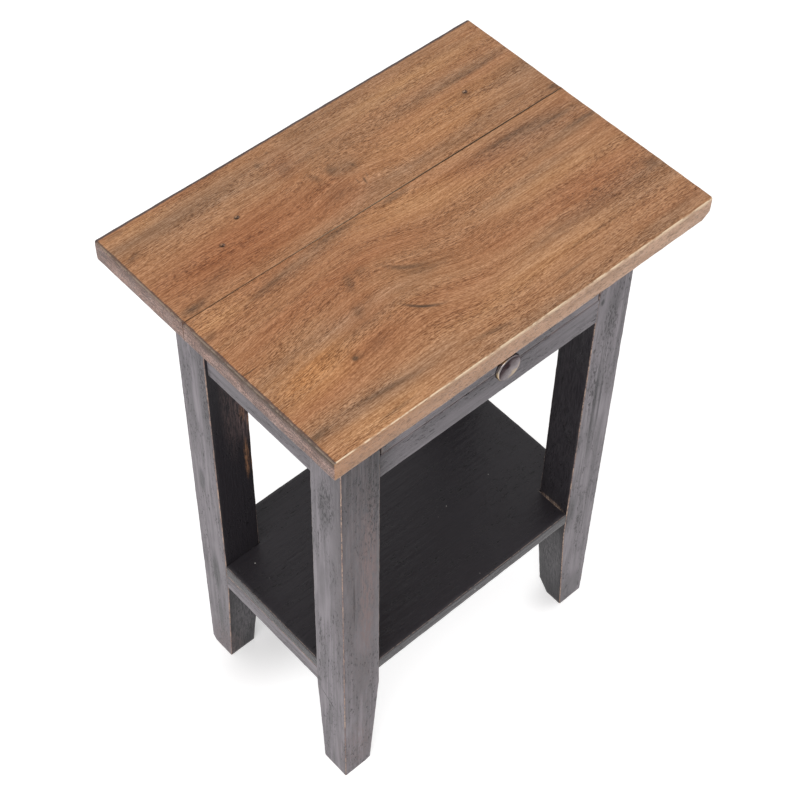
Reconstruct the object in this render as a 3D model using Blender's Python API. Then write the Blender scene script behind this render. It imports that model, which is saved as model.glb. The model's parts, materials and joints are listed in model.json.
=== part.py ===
"""Telephone table: a two-board top on four tapered legs, with one drawer and a low shelf.

Metres, +Z up. X runs along the front from left to right and Y from the front to the back. The origin
is on the floor under the middle of the top. The drawer slides out along -Y.
"""

import math

import bmesh
import bpy
from mathutils import Vector

# Top
HEIGHT = 0.7035
TOP_WIDTH = 0.480
TOP_DEPTH = 0.345
TOP_THICKNESS = 0.026
BACK_BOARD_DEPTH = 0.1375
TOP_CORNER_RADIUS = 0.004
TOP_ARRIS = 0.0018
SIDE_OVERHANG = 0.045
FRONT_OVERHANG = 0.046
BACK_OVERHANG = 0.049
DOWEL_DIAMETER = 0.008
DOWEL_LENGTH = 0.050
DOWEL_SPACING = 0.120
DOWEL_COUNT = 3

# Legs
LEG_WIDTH = 0.0495
LEG_DEPTH = 0.0455
FOOT_WIDTH = 0.037
FOOT_DEPTH = 0.0365
LEG_ARRIS = 0.0015

# Aprons and rails
APRON_HEIGHT = 0.1275
APRON_THICKNESS = 0.020
APRON_INSET = 0.004
UPPER_RAIL_HEIGHT = 0.034
LOWER_RAIL_HEIGHT = 0.035
RAIL_DEPTH = 0.036
RAIL_TENON_SETBACK = 0.013

# Shelf and its stretchers
SHELF_HEIGHT = 0.2105
SHELF_THICKNESS = 0.0195
SHELF_ARRIS = 0.001
STRETCHER_HEIGHT = 0.0255
STRETCHER_THICKNESS = 0.024

# Mortise and tenon joints
TENON_LENGTH = 0.022
TENON_THICKNESS = 0.008
TENON_SHOULDER = 0.008

# Drawer
DRAWER_SIDE_GAP = 0.001
DRAWER_TOP_GAP = 0.001
DRAWER_BOTTOM_GAP = 0.001
DRAWER_REAR_GAP = 0.010
DRAWER_FRONT_THICKNESS = 0.020
DRAWER_FRONT_ARRIS = 0.001
DRAWER_SIDE_THICKNESS = 0.012
DRAWER_SIDE_DROP = 0.002
DRAWER_BACK_THICKNESS = 0.012
DRAWER_BACK_SETBACK = 0.010
DRAWER_BACK_DADO = 0.004
DRAWER_PANEL_THICKNESS = 0.006
DRAWER_PANEL_RISE = 0.008
DRAWER_PANEL_GROOVE = 0.005
TAIL_COUNT = 2
TAIL_LENGTH = 0.014
TAIL_FLARE = 0.0023
HALF_PIN = 0.006
PIN_WIDTH = 0.008

# What the drawer runs on
RUNNER_HEIGHT = 0.018
RUNNER_LEDGE = 0.021
GUIDE_HEIGHT = 0.022
STOP_LENGTH = 0.030
STOP_HEIGHT = 0.005
STOP_SPACING = 0.160

# Knob
KNOB_DIAMETER = 0.031
KNOB_PROJECTION = 0.020
KNOB_RIM_THICKNESS = 0.005
KNOB_RIM_ROUNDING = 0.001
KNOB_NECK_DIAMETER = 0.012
KNOB_BASE_DIAMETER = 0.018
KNOB_BASE_THICKNESS = 0.003
KNOB_FLARE_LENGTH = 0.006
KNOB_SCREW_BITE = 0.010

# Screws and nails
SCREW_DIAMETER = 0.004
SCREW_HEAD_DIAMETER = 0.008
SCREW_HEAD_RIM = 0.0005
SCREW_POINT = 0.006
SCREW_END_DISTANCE = 0.020
TOP_SCREW_BITE = 0.015
SHELF_SCREW_BITE = 0.010
RUNNER_SCREW_BITE = 0.012
NAIL_DIAMETER = 0.0018
NAIL_HEAD_DIAMETER = 0.004
NAIL_HEAD_THICKNESS = 0.001
NAIL_POINT = 0.003
NAIL_BITE = 0.016
NAIL_SPACING = 0.090
NAIL_COUNT = 3

# Clearances: FIT is left between any two pieces that touch, BEYOND is how far a cut runs past a face
FIT = 0.0003
BEYOND = 0.005

# Facets of round and rounded shapes
ARRIS_STEPS = 2
CORNER_STEPS = 4
SCREW_SIDES = 12
DOWEL_SIDES = 20
KNOB_SIDES = 40
FLARE_STEPS = 8
SHARP_ANGLE = math.radians(40)

# Places that follow from the sizes above
FRAME_HALF_WIDTH = TOP_WIDTH / 2 - SIDE_OVERHANG
FRAME_FRONT = -TOP_DEPTH / 2 + FRONT_OVERHANG
FRAME_BACK = TOP_DEPTH / 2 - BACK_OVERHANG
TOP_UNDERSIDE = HEIGHT - TOP_THICKNESS
TOP_JOINT = TOP_DEPTH / 2 - BACK_BOARD_DEPTH
FRAME_TOP = TOP_UNDERSIDE - FIT
LEG_INNER_X = FRAME_HALF_WIDTH - LEG_WIDTH
FRONT_LEG_BACK = FRAME_FRONT + LEG_DEPTH
BACK_LEG_FRONT = FRAME_BACK - LEG_DEPTH
APRON_BOTTOM = FRAME_TOP - APRON_HEIGHT
APRON_OUTER_X = FRAME_HALF_WIDTH - APRON_INSET
APRON_INNER_X = APRON_OUTER_X - APRON_THICKNESS
BACK_APRON_OUTER = FRAME_BACK - APRON_INSET
BACK_APRON_INNER = BACK_APRON_OUTER - APRON_THICKNESS
LOWER_RAIL_TOP = APRON_BOTTOM + LOWER_RAIL_HEIGHT
UPPER_RAIL_BOTTOM = FRAME_TOP - UPPER_RAIL_HEIGHT
RAIL_BACK = FRAME_FRONT + RAIL_DEPTH
SHELF_UNDERSIDE = SHELF_HEIGHT - SHELF_THICKNESS
STRETCHER_TOP = SHELF_UNDERSIDE - FIT
STRETCHER_BOTTOM = STRETCHER_TOP - STRETCHER_HEIGHT
LEDGE_INNER_X = LEG_INNER_X - RUNNER_LEDGE
DRAWER_HALF_WIDTH = LEG_INNER_X - DRAWER_SIDE_GAP
DRAWER_INSIDE_X = DRAWER_HALF_WIDTH - DRAWER_SIDE_THICKNESS
DRAWER_FRONT_INSIDE = FRAME_FRONT + DRAWER_FRONT_THICKNESS
DRAWER_REAR = BACK_APRON_INNER - DRAWER_REAR_GAP
DRAWER_SIDE_BOTTOM = LOWER_RAIL_TOP + FIT
DRAWER_SIDE_TOP = UPPER_RAIL_BOTTOM - DRAWER_SIDE_DROP
DRAWER_FRONT_BOTTOM = LOWER_RAIL_TOP + DRAWER_BOTTOM_GAP
DRAWER_FRONT_TOP = UPPER_RAIL_BOTTOM - DRAWER_TOP_GAP
PANEL_BOTTOM = DRAWER_SIDE_BOTTOM + DRAWER_PANEL_RISE
PANEL_TOP = PANEL_BOTTOM + DRAWER_PANEL_THICKNESS
DRAWER_BACK_REAR = DRAWER_REAR - DRAWER_BACK_SETBACK
DRAWER_BACK_FRONT = DRAWER_BACK_REAR - DRAWER_BACK_THICKNESS
KNOB_HEIGHT = (DRAWER_FRONT_BOTTOM + DRAWER_FRONT_TOP) / 2
SCREW_PLACES = {
    "front": FRONT_LEG_BACK + SCREW_END_DISTANCE,
    "back": BACK_LEG_FRONT - SCREW_END_DISTANCE,
}

SIDES = {"left": -1, "right": 1}
X, Y, Z = range(3)


def clear_scene():
    for obj in list(bpy.data.objects):
        bpy.data.objects.remove(obj)


def finish(name, colour, roughness, metallic=0.0):
    """A Principled material of one colour."""
    material = bpy.data.materials.new(name)
    material.use_nodes = True
    shader = material.node_tree.nodes["Principled BSDF"]
    shader.inputs["Base Color"].default_value = (*colour, 1.0)
    shader.inputs["Roughness"].default_value = roughness
    shader.inputs["Metallic"].default_value = metallic
    material.diffuse_color = (*colour, 1.0)
    return material


def empty(name, place):
    obj = bpy.data.objects.new(name, None)
    obj.location = place
    bpy.context.collection.objects.link(obj)
    return obj


def add_object(name, bm, place, rotation=(0.0, 0.0, 0.0), parent=None):
    """Make an object from a bmesh whose points are relative to place, turned by the rotation given."""
    mesh = bpy.data.meshes.new(name)
    bm.to_mesh(mesh)
    bm.free()
    obj = bpy.data.objects.new(name, mesh)
    bpy.context.collection.objects.link(obj)
    obj.location = Vector(place)
    obj.rotation_euler = rotation
    if parent:
        obj.parent = parent
        obj.location -= parent.location
    return obj


def add_wooden(name, bm, material, parent=None):
    """Make a piece from a bmesh in world places, with its origin at the middle of its box."""
    middle = [
        (min(v.co[i] for v in bm.verts) + max(v.co[i] for v in bm.verts)) / 2 for i in (X, Y, Z)
    ]
    bmesh.ops.translate(bm, vec=-Vector(middle), verts=bm.verts)
    obj = add_object(name, bm, middle, parent=parent)
    obj.data.materials.append(material)
    return obj


def add_turned(name, profile, sides, material, place, rotation=(0.0, 0.0, 0.0), parent=None):
    """Make a round piece by turning a profile about its own Z axis."""
    obj = add_object(name, turned(profile, sides), place, rotation, parent)
    obj.data.materials.append(material)
    obj.data.shade_smooth()
    obj.data.set_sharp_from_angle(angle=SHARP_ANGLE)
    return obj


def make_cutter(obj):
    obj.hide_render = True
    obj.display_type = "WIRE"
    return obj


def cut(piece, cutter):
    modifier = piece.modifiers.new(cutter.name, "BOOLEAN")
    modifier.operation = "DIFFERENCE"
    modifier.solver = "EXACT"
    modifier.object = cutter


def loft(rings):
    """Skin over a row of rings with equal point counts, closed at both ends."""
    bm = bmesh.new()
    made = [[bm.verts.new(point) for point in ring] for ring in rings]
    count = len(rings[0])
    for ring, following in zip(made, made[1:]):
        for i in range(count):
            j = (i + 1) % count
            bm.faces.new((ring[i], ring[j], following[j], following[i]))
    bm.faces.new(made[0])
    bm.faces.new(made[-1])
    bmesh.ops.recalc_face_normals(bm, faces=bm.faces)
    return bm


def rectangle(axis, position, low, high):
    """Four corners of a rectangle square to an axis; low and high are points whose axis entry is unused."""
    first, second = [i for i in (X, Y, Z) if i != axis]
    corners = []
    for a, b in ((low, low), (high, low), (high, high), (low, high)):
        point = [0.0, 0.0, 0.0]
        point[axis] = position
        point[first] = a[first]
        point[second] = b[second]
        corners.append(Vector(point))
    return corners


def block(low, high):
    return loft([rectangle(Z, low[Z], low, high), rectangle(Z, high[Z], low, high)])


def extruded(outline, axis, low, high):
    """Prism of a flat outline, given as points in the plane square to an axis."""
    first, second = [i for i in (X, Y, Z) if i != axis]
    rings = []
    for position in (low, high):
        ring = []
        for a, b in outline:
            point = [0.0, 0.0, 0.0]
            point[axis] = position
            point[first] = a
            point[second] = b
            ring.append(Vector(point))
        rings.append(ring)
    return loft(rings)


def turned(profile, sides):
    """Skin of a profile of (radius, height) points turned about Z; both ends lie on the axis."""
    bm = bmesh.new()
    rings = []
    for radius, height in profile:
        if radius == 0.0:
            rings.append([bm.verts.new((0.0, 0.0, height))])
            continue
        turns = [2 * math.pi * i / sides for i in range(sides)]
        rings.append([bm.verts.new((radius * math.cos(t), radius * math.sin(t), height)) for t in turns])
    for ring, following in zip(rings, rings[1:]):
        for i in range(sides):
            j = (i + 1) % sides
            corners = [ring[k % len(ring)] for k in (i, j)]
            corners += [following[k % len(following)] for k in (j, i)]
            bm.faces.new(list(dict.fromkeys(corners)))
    bmesh.ops.recalc_face_normals(bm, faces=bm.faces)
    return bm


def round_edges(bm, wanted, width, steps):
    edges = [edge for edge in bm.edges if wanted(*(vert.co for vert in edge.verts))]
    bmesh.ops.bevel(bm, geom=edges, offset=width, segments=steps, profile=0.5, affect="EDGES")


def near(a, b):
    return abs(a - b) < FIT / 10


def mirrored(low, high, side):
    """A box given for the right-hand side, taken to the side asked for."""
    xs = sorted((side * low[X], side * high[X]))
    return (xs[0], low[Y], low[Z]), (xs[1], high[Y], high[Z])


def screw_profile(length, grow=0.0, lead=0.0):
    """Countersunk screw from the middle of its head to its point; grow and lead turn it into its hole."""
    head = SCREW_HEAD_DIAMETER / 2
    shank = SCREW_DIAMETER / 2
    neck = SCREW_HEAD_RIM + head - shank
    return [
        (0.0, -lead),
        (head + grow, -lead),
        (head + grow, SCREW_HEAD_RIM),
        (shank + grow, neck),
        (shank + grow, length - SCREW_POINT + grow),
        (0.0, length + grow),
    ]


def add_screw(name, head, rotation, length, material, through, parent=None):
    """Screw with its head just under a surface, and its hole through every piece that it holds."""
    screw = add_turned(name, screw_profile(length), SCREW_SIDES, material, head, rotation, parent)
    hole = turned(screw_profile(length, FIT, BEYOND), SCREW_SIDES)
    cutter = make_cutter(add_object(name + "_hole", hole, head, rotation, parent))
    for piece in through:
        cut(piece, cutter)
    return screw


def add_top_board(name, front, back, outer, material):
    """One board of the top, with its outer corners and arrises rounded and its glued edge left square."""
    half = TOP_WIDTH / 2
    bm = block((-half, front, TOP_UNDERSIDE), (half, back, HEIGHT))
    round_edges(bm, lambda a, b: near(a.y, outer) and near(b.y, outer) and near(a.x, b.x),
                TOP_CORNER_RADIUS, CORNER_STEPS)
    joint = front if outer == back else back
    round_edges(bm, lambda a, b: near(a.z, b.z) and not (near(a.y, joint) and near(b.y, joint)),
                TOP_ARRIS, ARRIS_STEPS)
    return add_wooden(name, bm, material)


def add_top(wood, bare):
    """Front and back boards, with dowels across the glued joint between them."""
    front = add_top_board("top_front_board", -TOP_DEPTH / 2, TOP_JOINT - FIT / 2, -TOP_DEPTH / 2, wood)
    back = add_top_board("top_back_board", TOP_JOINT + FIT / 2, TOP_DEPTH / 2, TOP_DEPTH / 2, wood)
    radius = DOWEL_DIAMETER / 2
    turn = (math.pi / 2, 0.0, 0.0)
    for i in range(DOWEL_COUNT):
        place = (
            (i - (DOWEL_COUNT - 1) / 2) * DOWEL_SPACING,
            TOP_JOINT + DOWEL_LENGTH / 2,
            TOP_UNDERSIDE + TOP_THICKNESS / 2,
        )
        name = f"top_dowel_{i + 1}"
        profile = [(0.0, 0.0), (radius, 0.0), (radius, DOWEL_LENGTH), (0.0, DOWEL_LENGTH)]
        add_turned(name, profile, DOWEL_SIDES, bare, place, turn)
        ends = (-FIT, DOWEL_LENGTH + FIT)
        hole = [(0.0, ends[0]), (radius + FIT, ends[0]), (radius + FIT, ends[1]), (0.0, ends[1])]
        cutter = make_cutter(add_object(name + "_hole", turned(hole, DOWEL_SIDES), place, turn))
        cut(front, cutter)
        cut(back, cutter)
    return front, back


def add_leg(name, side, outer, inward, material):
    """Straight leg above the shelf's stretcher, tapered on its two inner faces below it."""
    corner = side * FRAME_HALF_WIDTH
    rings = []
    for height, width, depth in (
        (0.0, FOOT_WIDTH, FOOT_DEPTH),
        (STRETCHER_BOTTOM, LEG_WIDTH, LEG_DEPTH),
        (FRAME_TOP, LEG_WIDTH, LEG_DEPTH),
    ):
        inner = (corner - side * width, outer + inward * depth, 0.0)
        rings.append(rectangle(Z, height, (corner, outer, 0.0), inner))
    bm = loft(rings)
    round_edges(bm, lambda a, b: not near(a.z, b.z) or near(a.z, 0.0), LEG_ARRIS, ARRIS_STEPS)
    return add_wooden(name, bm, material)


def add_legs(paint):
    legs = {}
    for side_name, side in SIDES.items():
        for end, outer, inward in (("front", FRAME_FRONT, 1), ("back", FRAME_BACK, -1)):
            legs[end, side_name] = add_leg(f"leg_{end}_{side_name}", side, outer, inward, paint)
    return legs


def add_tenoned(name, axis, low, high, tenon_middle, legs, material):
    """Bar between two legs with a tenon on each end, and the mortises for them in the legs."""
    across = Y if axis == X else X
    tenon_low, tenon_high = list(low), list(high)
    tenon_low[across] = tenon_middle - TENON_THICKNESS / 2
    tenon_high[across] = tenon_middle + TENON_THICKNESS / 2
    tenon_low[Z] += TENON_SHOULDER
    tenon_high[Z] -= TENON_SHOULDER
    tenon = (tenon_low, tenon_high)
    body = (low, high)
    stations = (
        (low[axis] - TENON_LENGTH, tenon),
        (low[axis], tenon),
        (low[axis], body),
        (high[axis], body),
        (high[axis], tenon),
        (high[axis] + TENON_LENGTH, tenon),
    )
    bar = add_wooden(name, loft([rectangle(axis, at, *section) for at, section in stations]), material)
    for leg, start, end in (
        (legs[0], low[axis] - TENON_LENGTH - FIT, low[axis] + BEYOND),
        (legs[1], high[axis] - BEYOND, high[axis] + TENON_LENGTH + FIT),
    ):
        mortise_low = [value - FIT for value in tenon_low]
        mortise_high = [value + FIT for value in tenon_high]
        mortise_low[axis], mortise_high[axis] = start, end
        mortise = block(mortise_low, mortise_high)
        cut(leg, make_cutter(add_object(f"{name}_mortise_{leg.name}", mortise, (0.0, 0.0, 0.0))))
    return bar


def add_frame_bars(legs, paint):
    """Aprons, drawer rails and shelf stretchers, all tenoned into the legs."""
    inner = LEG_INNER_X - FIT
    front_legs = (legs["front", "left"], legs["front", "right"])
    back_legs = (legs["back", "left"], legs["back", "right"])
    rail_tenon = FRAME_FRONT + RAIL_TENON_SETBACK
    add_tenoned("front_upper_rail", X, (-inner, FRAME_FRONT, UPPER_RAIL_BOTTOM),
                (inner, RAIL_BACK, FRAME_TOP), rail_tenon, front_legs, paint)
    add_tenoned("front_lower_rail", X, (-inner, FRAME_FRONT, APRON_BOTTOM),
                (inner, RAIL_BACK, LOWER_RAIL_TOP), rail_tenon, front_legs, paint)
    add_tenoned("back_apron", X, (-inner, BACK_APRON_INNER, APRON_BOTTOM),
                (inner, BACK_APRON_OUTER, FRAME_TOP), (BACK_APRON_INNER + BACK_APRON_OUTER) / 2,
                back_legs, paint)
    aprons, stretchers = {}, {}
    front, back = FRONT_LEG_BACK + FIT, BACK_LEG_FRONT - FIT
    for name, side in SIDES.items():
        pair = (legs["front", name], legs["back", name])
        low, high = mirrored((APRON_INNER_X, front, APRON_BOTTOM), (APRON_OUTER_X, back, FRAME_TOP), side)
        aprons[name] = add_tenoned(f"side_apron_{name}", Y, low, high, (low[X] + high[X]) / 2, pair, paint)
        low, high = mirrored(
            (FRAME_HALF_WIDTH - STRETCHER_THICKNESS, front, STRETCHER_BOTTOM),
            (FRAME_HALF_WIDTH, back, STRETCHER_TOP), side)
        stretchers[name] = add_tenoned(f"side_stretcher_{name}", Y, low, high, (low[X] + high[X]) / 2,
                                       pair, paint)
    return aprons, stretchers


def add_shelf(stretchers, paint, steel):
    """Board notched round the legs, lying on the side stretchers and screwed up through them."""
    wide, narrow = FRAME_HALF_WIDTH, LEG_INNER_X - FIT
    front, back = FRONT_LEG_BACK + FIT, BACK_LEG_FRONT - FIT
    outline = [
        (-narrow, FRAME_FRONT), (narrow, FRAME_FRONT), (narrow, front), (wide, front),
        (wide, back), (narrow, back), (narrow, FRAME_BACK), (-narrow, FRAME_BACK),
        (-narrow, back), (-wide, back), (-wide, front), (-narrow, front),
    ]
    bm = extruded(outline, Z, SHELF_UNDERSIDE, SHELF_HEIGHT)

    def on_rim(a, b):
        at_end = near(a.x, b.x) and near(abs(a.x), wide)
        at_front = near(a.y, b.y) and (near(a.y, FRAME_FRONT) or near(a.y, FRAME_BACK))
        return near(a.z, b.z) and (at_end or at_front)

    round_edges(bm, on_rim, SHELF_ARRIS, ARRIS_STEPS)
    shelf = add_wooden("shelf_board", bm, paint)
    for name, side in SIDES.items():
        for end, y in SCREW_PLACES.items():
            head = (side * (FRAME_HALF_WIDTH - STRETCHER_THICKNESS / 2), y, STRETCHER_BOTTOM + FIT)
            length = STRETCHER_HEIGHT + SHELF_SCREW_BITE
            add_screw(f"shelf_screw_{end}_{name}", head, (0.0, 0.0, 0.0), length, steel,
                      (stretchers[name], shelf))


def strip_outline(side):
    """Plan of a runner or kicker: full width between the legs, narrower past them to the rail and apron."""
    outer, inner, ledge = APRON_INNER_X - FIT, LEG_INNER_X - FIT, LEDGE_INNER_X
    front, back = RAIL_BACK + FIT, BACK_APRON_INNER - FIT
    leg_front, leg_back = FRONT_LEG_BACK + FIT, BACK_LEG_FRONT - FIT
    points = [
        (inner, front), (inner, leg_front), (outer, leg_front), (outer, leg_back),
        (inner, leg_back), (inner, back), (ledge, back), (ledge, front),
    ]
    return [(side * x, y) for x, y in points]


def add_drawer_ways(aprons, boards, bare, steel):
    """Runner, guide and kicker on each side; kickers are screwed to the top and runners to the aprons."""
    for name, side in SIDES.items():
        outline = strip_outline(side)
        runner = add_wooden(
            f"drawer_runner_{name}",
            extruded(outline, Z, LOWER_RAIL_TOP - RUNNER_HEIGHT, LOWER_RAIL_TOP), bare)
        kicker = add_wooden(
            f"drawer_kicker_{name}",
            extruded(outline, Z, UPPER_RAIL_BOTTOM, FRAME_TOP), bare)
        guide_bottom = LOWER_RAIL_TOP + FIT
        low, high = mirrored(
            (LEG_INNER_X, FRONT_LEG_BACK + FIT, guide_bottom),
            (APRON_INNER_X - FIT, BACK_LEG_FRONT - FIT, guide_bottom + GUIDE_HEIGHT), side)
        add_wooden(f"drawer_guide_{name}", block(low, high), bare)
        for end, y in SCREW_PLACES.items():
            under = (side * (APRON_INNER_X + LEG_INNER_X) / 2, y, UPPER_RAIL_BOTTOM + FIT)
            length = UPPER_RAIL_HEIGHT + TOP_SCREW_BITE
            add_screw(f"top_screw_{end}_{name}", under, (0.0, 0.0, 0.0), length, steel, (kicker, *boards))
            inside = (side * (LEDGE_INNER_X + FIT), y, LOWER_RAIL_TOP - RUNNER_HEIGHT / 2)
            length = APRON_INNER_X - LEDGE_INNER_X + RUNNER_SCREW_BITE
            add_screw(f"runner_screw_{end}_{name}", inside, (0.0, side * math.pi / 2, 0.0), length, steel,
                      (runner, aprons[name]))


def add_drawer_stops(bare):
    """Blocks on the lower rail that the back of the drawer front closes against."""
    for name, side in SIDES.items():
        middle = side * STOP_SPACING / 2
        low = (middle - STOP_LENGTH / 2, DRAWER_FRONT_INSIDE + FIT, LOWER_RAIL_TOP + FIT)
        high = (middle + STOP_LENGTH / 2, RAIL_BACK, LOWER_RAIL_TOP + FIT + STOP_HEIGHT)
        add_wooden(f"drawer_stop_{name}", block(low, high), bare)


def tail_outlines(grow):
    """Outlines in (y, z) of the dovetails on a drawer side; grow turns them into their sockets."""
    height = DRAWER_SIDE_TOP - DRAWER_SIDE_BOTTOM
    tip = (height - 2 * HALF_PIN - (TAIL_COUNT - 1) * PIN_WIDTH) / TAIL_COUNT
    shoulder = DRAWER_FRONT_INSIDE
    end = shoulder - TAIL_LENGTH - grow
    outlines = []
    for i in range(TAIL_COUNT):
        low = DRAWER_SIDE_BOTTOM + HALF_PIN + i * (tip + PIN_WIDTH) - grow
        high = low + tip + 2 * grow
        outlines.append([
            (shoulder, low + TAIL_FLARE), (end, low), (end, high), (shoulder, high - TAIL_FLARE),
        ])
    return outlines


def drawer_side_outline():
    """Drawer side seen from its flat face: a board with dovetails on its front end."""
    outline = [(DRAWER_REAR, DRAWER_SIDE_TOP), (DRAWER_REAR, DRAWER_SIDE_BOTTOM)]
    shoulder = DRAWER_FRONT_INSIDE + FIT
    outline.append((shoulder, DRAWER_SIDE_BOTTOM))
    for tail in tail_outlines(0.0):
        base_low, tip_low, tip_high, base_high = tail
        outline += [(shoulder, base_low[1]), tip_low, tip_high, (shoulder, base_high[1])]
    outline.append((shoulder, DRAWER_SIDE_TOP))
    return outline


def add_drawer_front(slide, paint):
    """Drawer front with its square back edges, rounded front arrises, sockets and panel groove."""
    low = (-DRAWER_HALF_WIDTH, FRAME_FRONT, DRAWER_FRONT_BOTTOM)
    high = (DRAWER_HALF_WIDTH, DRAWER_FRONT_INSIDE, DRAWER_FRONT_TOP)
    bm = block(low, high)
    round_edges(bm, lambda a, b: near(a.y, FRAME_FRONT) and near(b.y, FRAME_FRONT),
                DRAWER_FRONT_ARRIS, ARRIS_STEPS)
    front = add_wooden("drawer_front", bm, paint, slide)
    for name, side in SIDES.items():
        ends = sorted((side * (DRAWER_INSIDE_X - FIT), side * (DRAWER_HALF_WIDTH + BEYOND)))
        for i, tail in enumerate(tail_outlines(FIT)):
            base_low, tip_low, tip_high, base_high = tail
            mouth = DRAWER_FRONT_INSIDE + BEYOND
            outline = [(mouth, base_low[1]), base_low, tip_low, tip_high, base_high, (mouth, base_high[1])]
            socket = extruded(outline, X, *ends)
            cut(front, make_cutter(add_object(f"socket_{name}_{i + 1}", socket, (0, 0, 0), parent=slide)))
    groove = block(
        (-DRAWER_INSIDE_X, DRAWER_FRONT_INSIDE - DRAWER_PANEL_GROOVE, PANEL_BOTTOM - FIT),
        (DRAWER_INSIDE_X, DRAWER_FRONT_INSIDE + BEYOND, PANEL_TOP + FIT))
    cut(front, make_cutter(add_object("drawer_front_groove", groove, (0, 0, 0), parent=slide)))
    return front


def add_drawer_sides(slide, bare):
    """Dovetailed sides, grooved for the bottom panel and dadoed for the back."""
    for name, side in SIDES.items():
        faces = sorted((side * DRAWER_INSIDE_X, side * DRAWER_HALF_WIDTH))
        board = add_wooden(f"drawer_side_{name}", extruded(drawer_side_outline(), X, *faces), bare, slide)
        low, high = mirrored(
            (DRAWER_INSIDE_X - BEYOND, FRAME_FRONT - BEYOND, PANEL_BOTTOM - FIT),
            (DRAWER_INSIDE_X + DRAWER_PANEL_GROOVE, DRAWER_REAR + BEYOND, PANEL_TOP + FIT), side)
        cut(board, make_cutter(add_object(f"groove_{name}", block(low, high), (0, 0, 0), parent=slide)))
        low, high = mirrored(
            (DRAWER_INSIDE_X - BEYOND, DRAWER_BACK_FRONT - FIT, DRAWER_SIDE_BOTTOM - BEYOND),
            (DRAWER_INSIDE_X + DRAWER_BACK_DADO, DRAWER_BACK_REAR + FIT, DRAWER_SIDE_TOP + BEYOND), side)
        cut(board, make_cutter(add_object(f"dado_{name}", block(low, high), (0, 0, 0), parent=slide)))


def add_drawer_back_and_panel(slide, bare, steel):
    """Back housed in the sides, and the bottom panel slid in under it and nailed up into it."""
    back_half = DRAWER_INSIDE_X + DRAWER_BACK_DADO - FIT
    back = add_wooden(
        "drawer_back",
        block((-back_half, DRAWER_BACK_FRONT, PANEL_TOP + FIT),
              (back_half, DRAWER_BACK_REAR, DRAWER_SIDE_TOP)), bare, slide)
    panel_half = DRAWER_INSIDE_X + DRAWER_PANEL_GROOVE - FIT
    panel = add_wooden(
        "drawer_bottom",
        block((-panel_half, DRAWER_FRONT_INSIDE - DRAWER_PANEL_GROOVE + FIT, PANEL_BOTTOM),
              (panel_half, DRAWER_REAR, PANEL_TOP)), bare, slide)
    head, shank = NAIL_HEAD_DIAMETER / 2, NAIL_DIAMETER / 2
    length = DRAWER_PANEL_THICKNESS + NAIL_BITE

    def nail_profile(grow, lead):
        return [
            (0.0, -lead), (head + grow, -lead), (head + grow, NAIL_HEAD_THICKNESS + grow),
            (shank + grow, NAIL_HEAD_THICKNESS + grow), (shank + grow, length - NAIL_POINT + grow),
            (0.0, length + grow),
        ]

    for i in range(NAIL_COUNT):
        place = (
            (i - (NAIL_COUNT - 1) / 2) * NAIL_SPACING,
            (DRAWER_BACK_FRONT + DRAWER_BACK_REAR) / 2,
            PANEL_BOTTOM + FIT,
        )
        name = f"drawer_bottom_nail_{i + 1}"
        add_turned(name, nail_profile(0.0, 0.0), SCREW_SIDES, steel, place, parent=slide)
        hole = turned(nail_profile(FIT, BEYOND), SCREW_SIDES)
        cutter = make_cutter(add_object(name + "_hole", hole, place, parent=slide))
        cut(panel, cutter)
        cut(back, cutter)


def knob_profile():
    """Turned knob from the end of its screw hole, round its back, out to the rim and in over its face."""
    hole = SCREW_DIAMETER / 2 + FIT
    base, neck, rim = KNOB_BASE_DIAMETER / 2, KNOB_NECK_DIAMETER / 2, KNOB_DIAMETER / 2
    rim_back = KNOB_PROJECTION - KNOB_RIM_THICKNESS
    flare_start = rim_back - KNOB_FLARE_LENGTH
    profile = [
        (0.0, KNOB_SCREW_BITE + 2 * FIT),
        (hole, KNOB_SCREW_BITE + 2 * FIT),
        (hole, FIT),
        (base, FIT),
        (base, KNOB_BASE_THICKNESS),
        (neck, KNOB_BASE_THICKNESS + (base - neck) / 2),
    ]
    for i in range(FLARE_STEPS + 1):
        turn = math.pi / 2 * i / FLARE_STEPS
        radius = rim - (rim - neck) * math.cos(turn)
        profile.append((radius, flare_start + KNOB_FLARE_LENGTH * math.sin(turn)))
    return profile + [
        (rim, KNOB_PROJECTION - KNOB_RIM_ROUNDING),
        (rim - KNOB_RIM_ROUNDING, KNOB_PROJECTION),
        (0.0, KNOB_PROJECTION),
    ]


def add_knob(slide, front, brass, steel):
    """Knob in the middle of the drawer front, held by a screw from inside the drawer."""
    outwards = (math.pi / 2, 0.0, 0.0)
    place = (0.0, FRAME_FRONT, KNOB_HEIGHT)
    add_turned("drawer_knob", knob_profile(), KNOB_SIDES, brass, place, outwards, slide)
    head = (0.0, DRAWER_FRONT_INSIDE - FIT, KNOB_HEIGHT)
    length = DRAWER_FRONT_THICKNESS + KNOB_SCREW_BITE
    add_screw("knob_screw", head, outwards, length, steel, (front,), slide)


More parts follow.
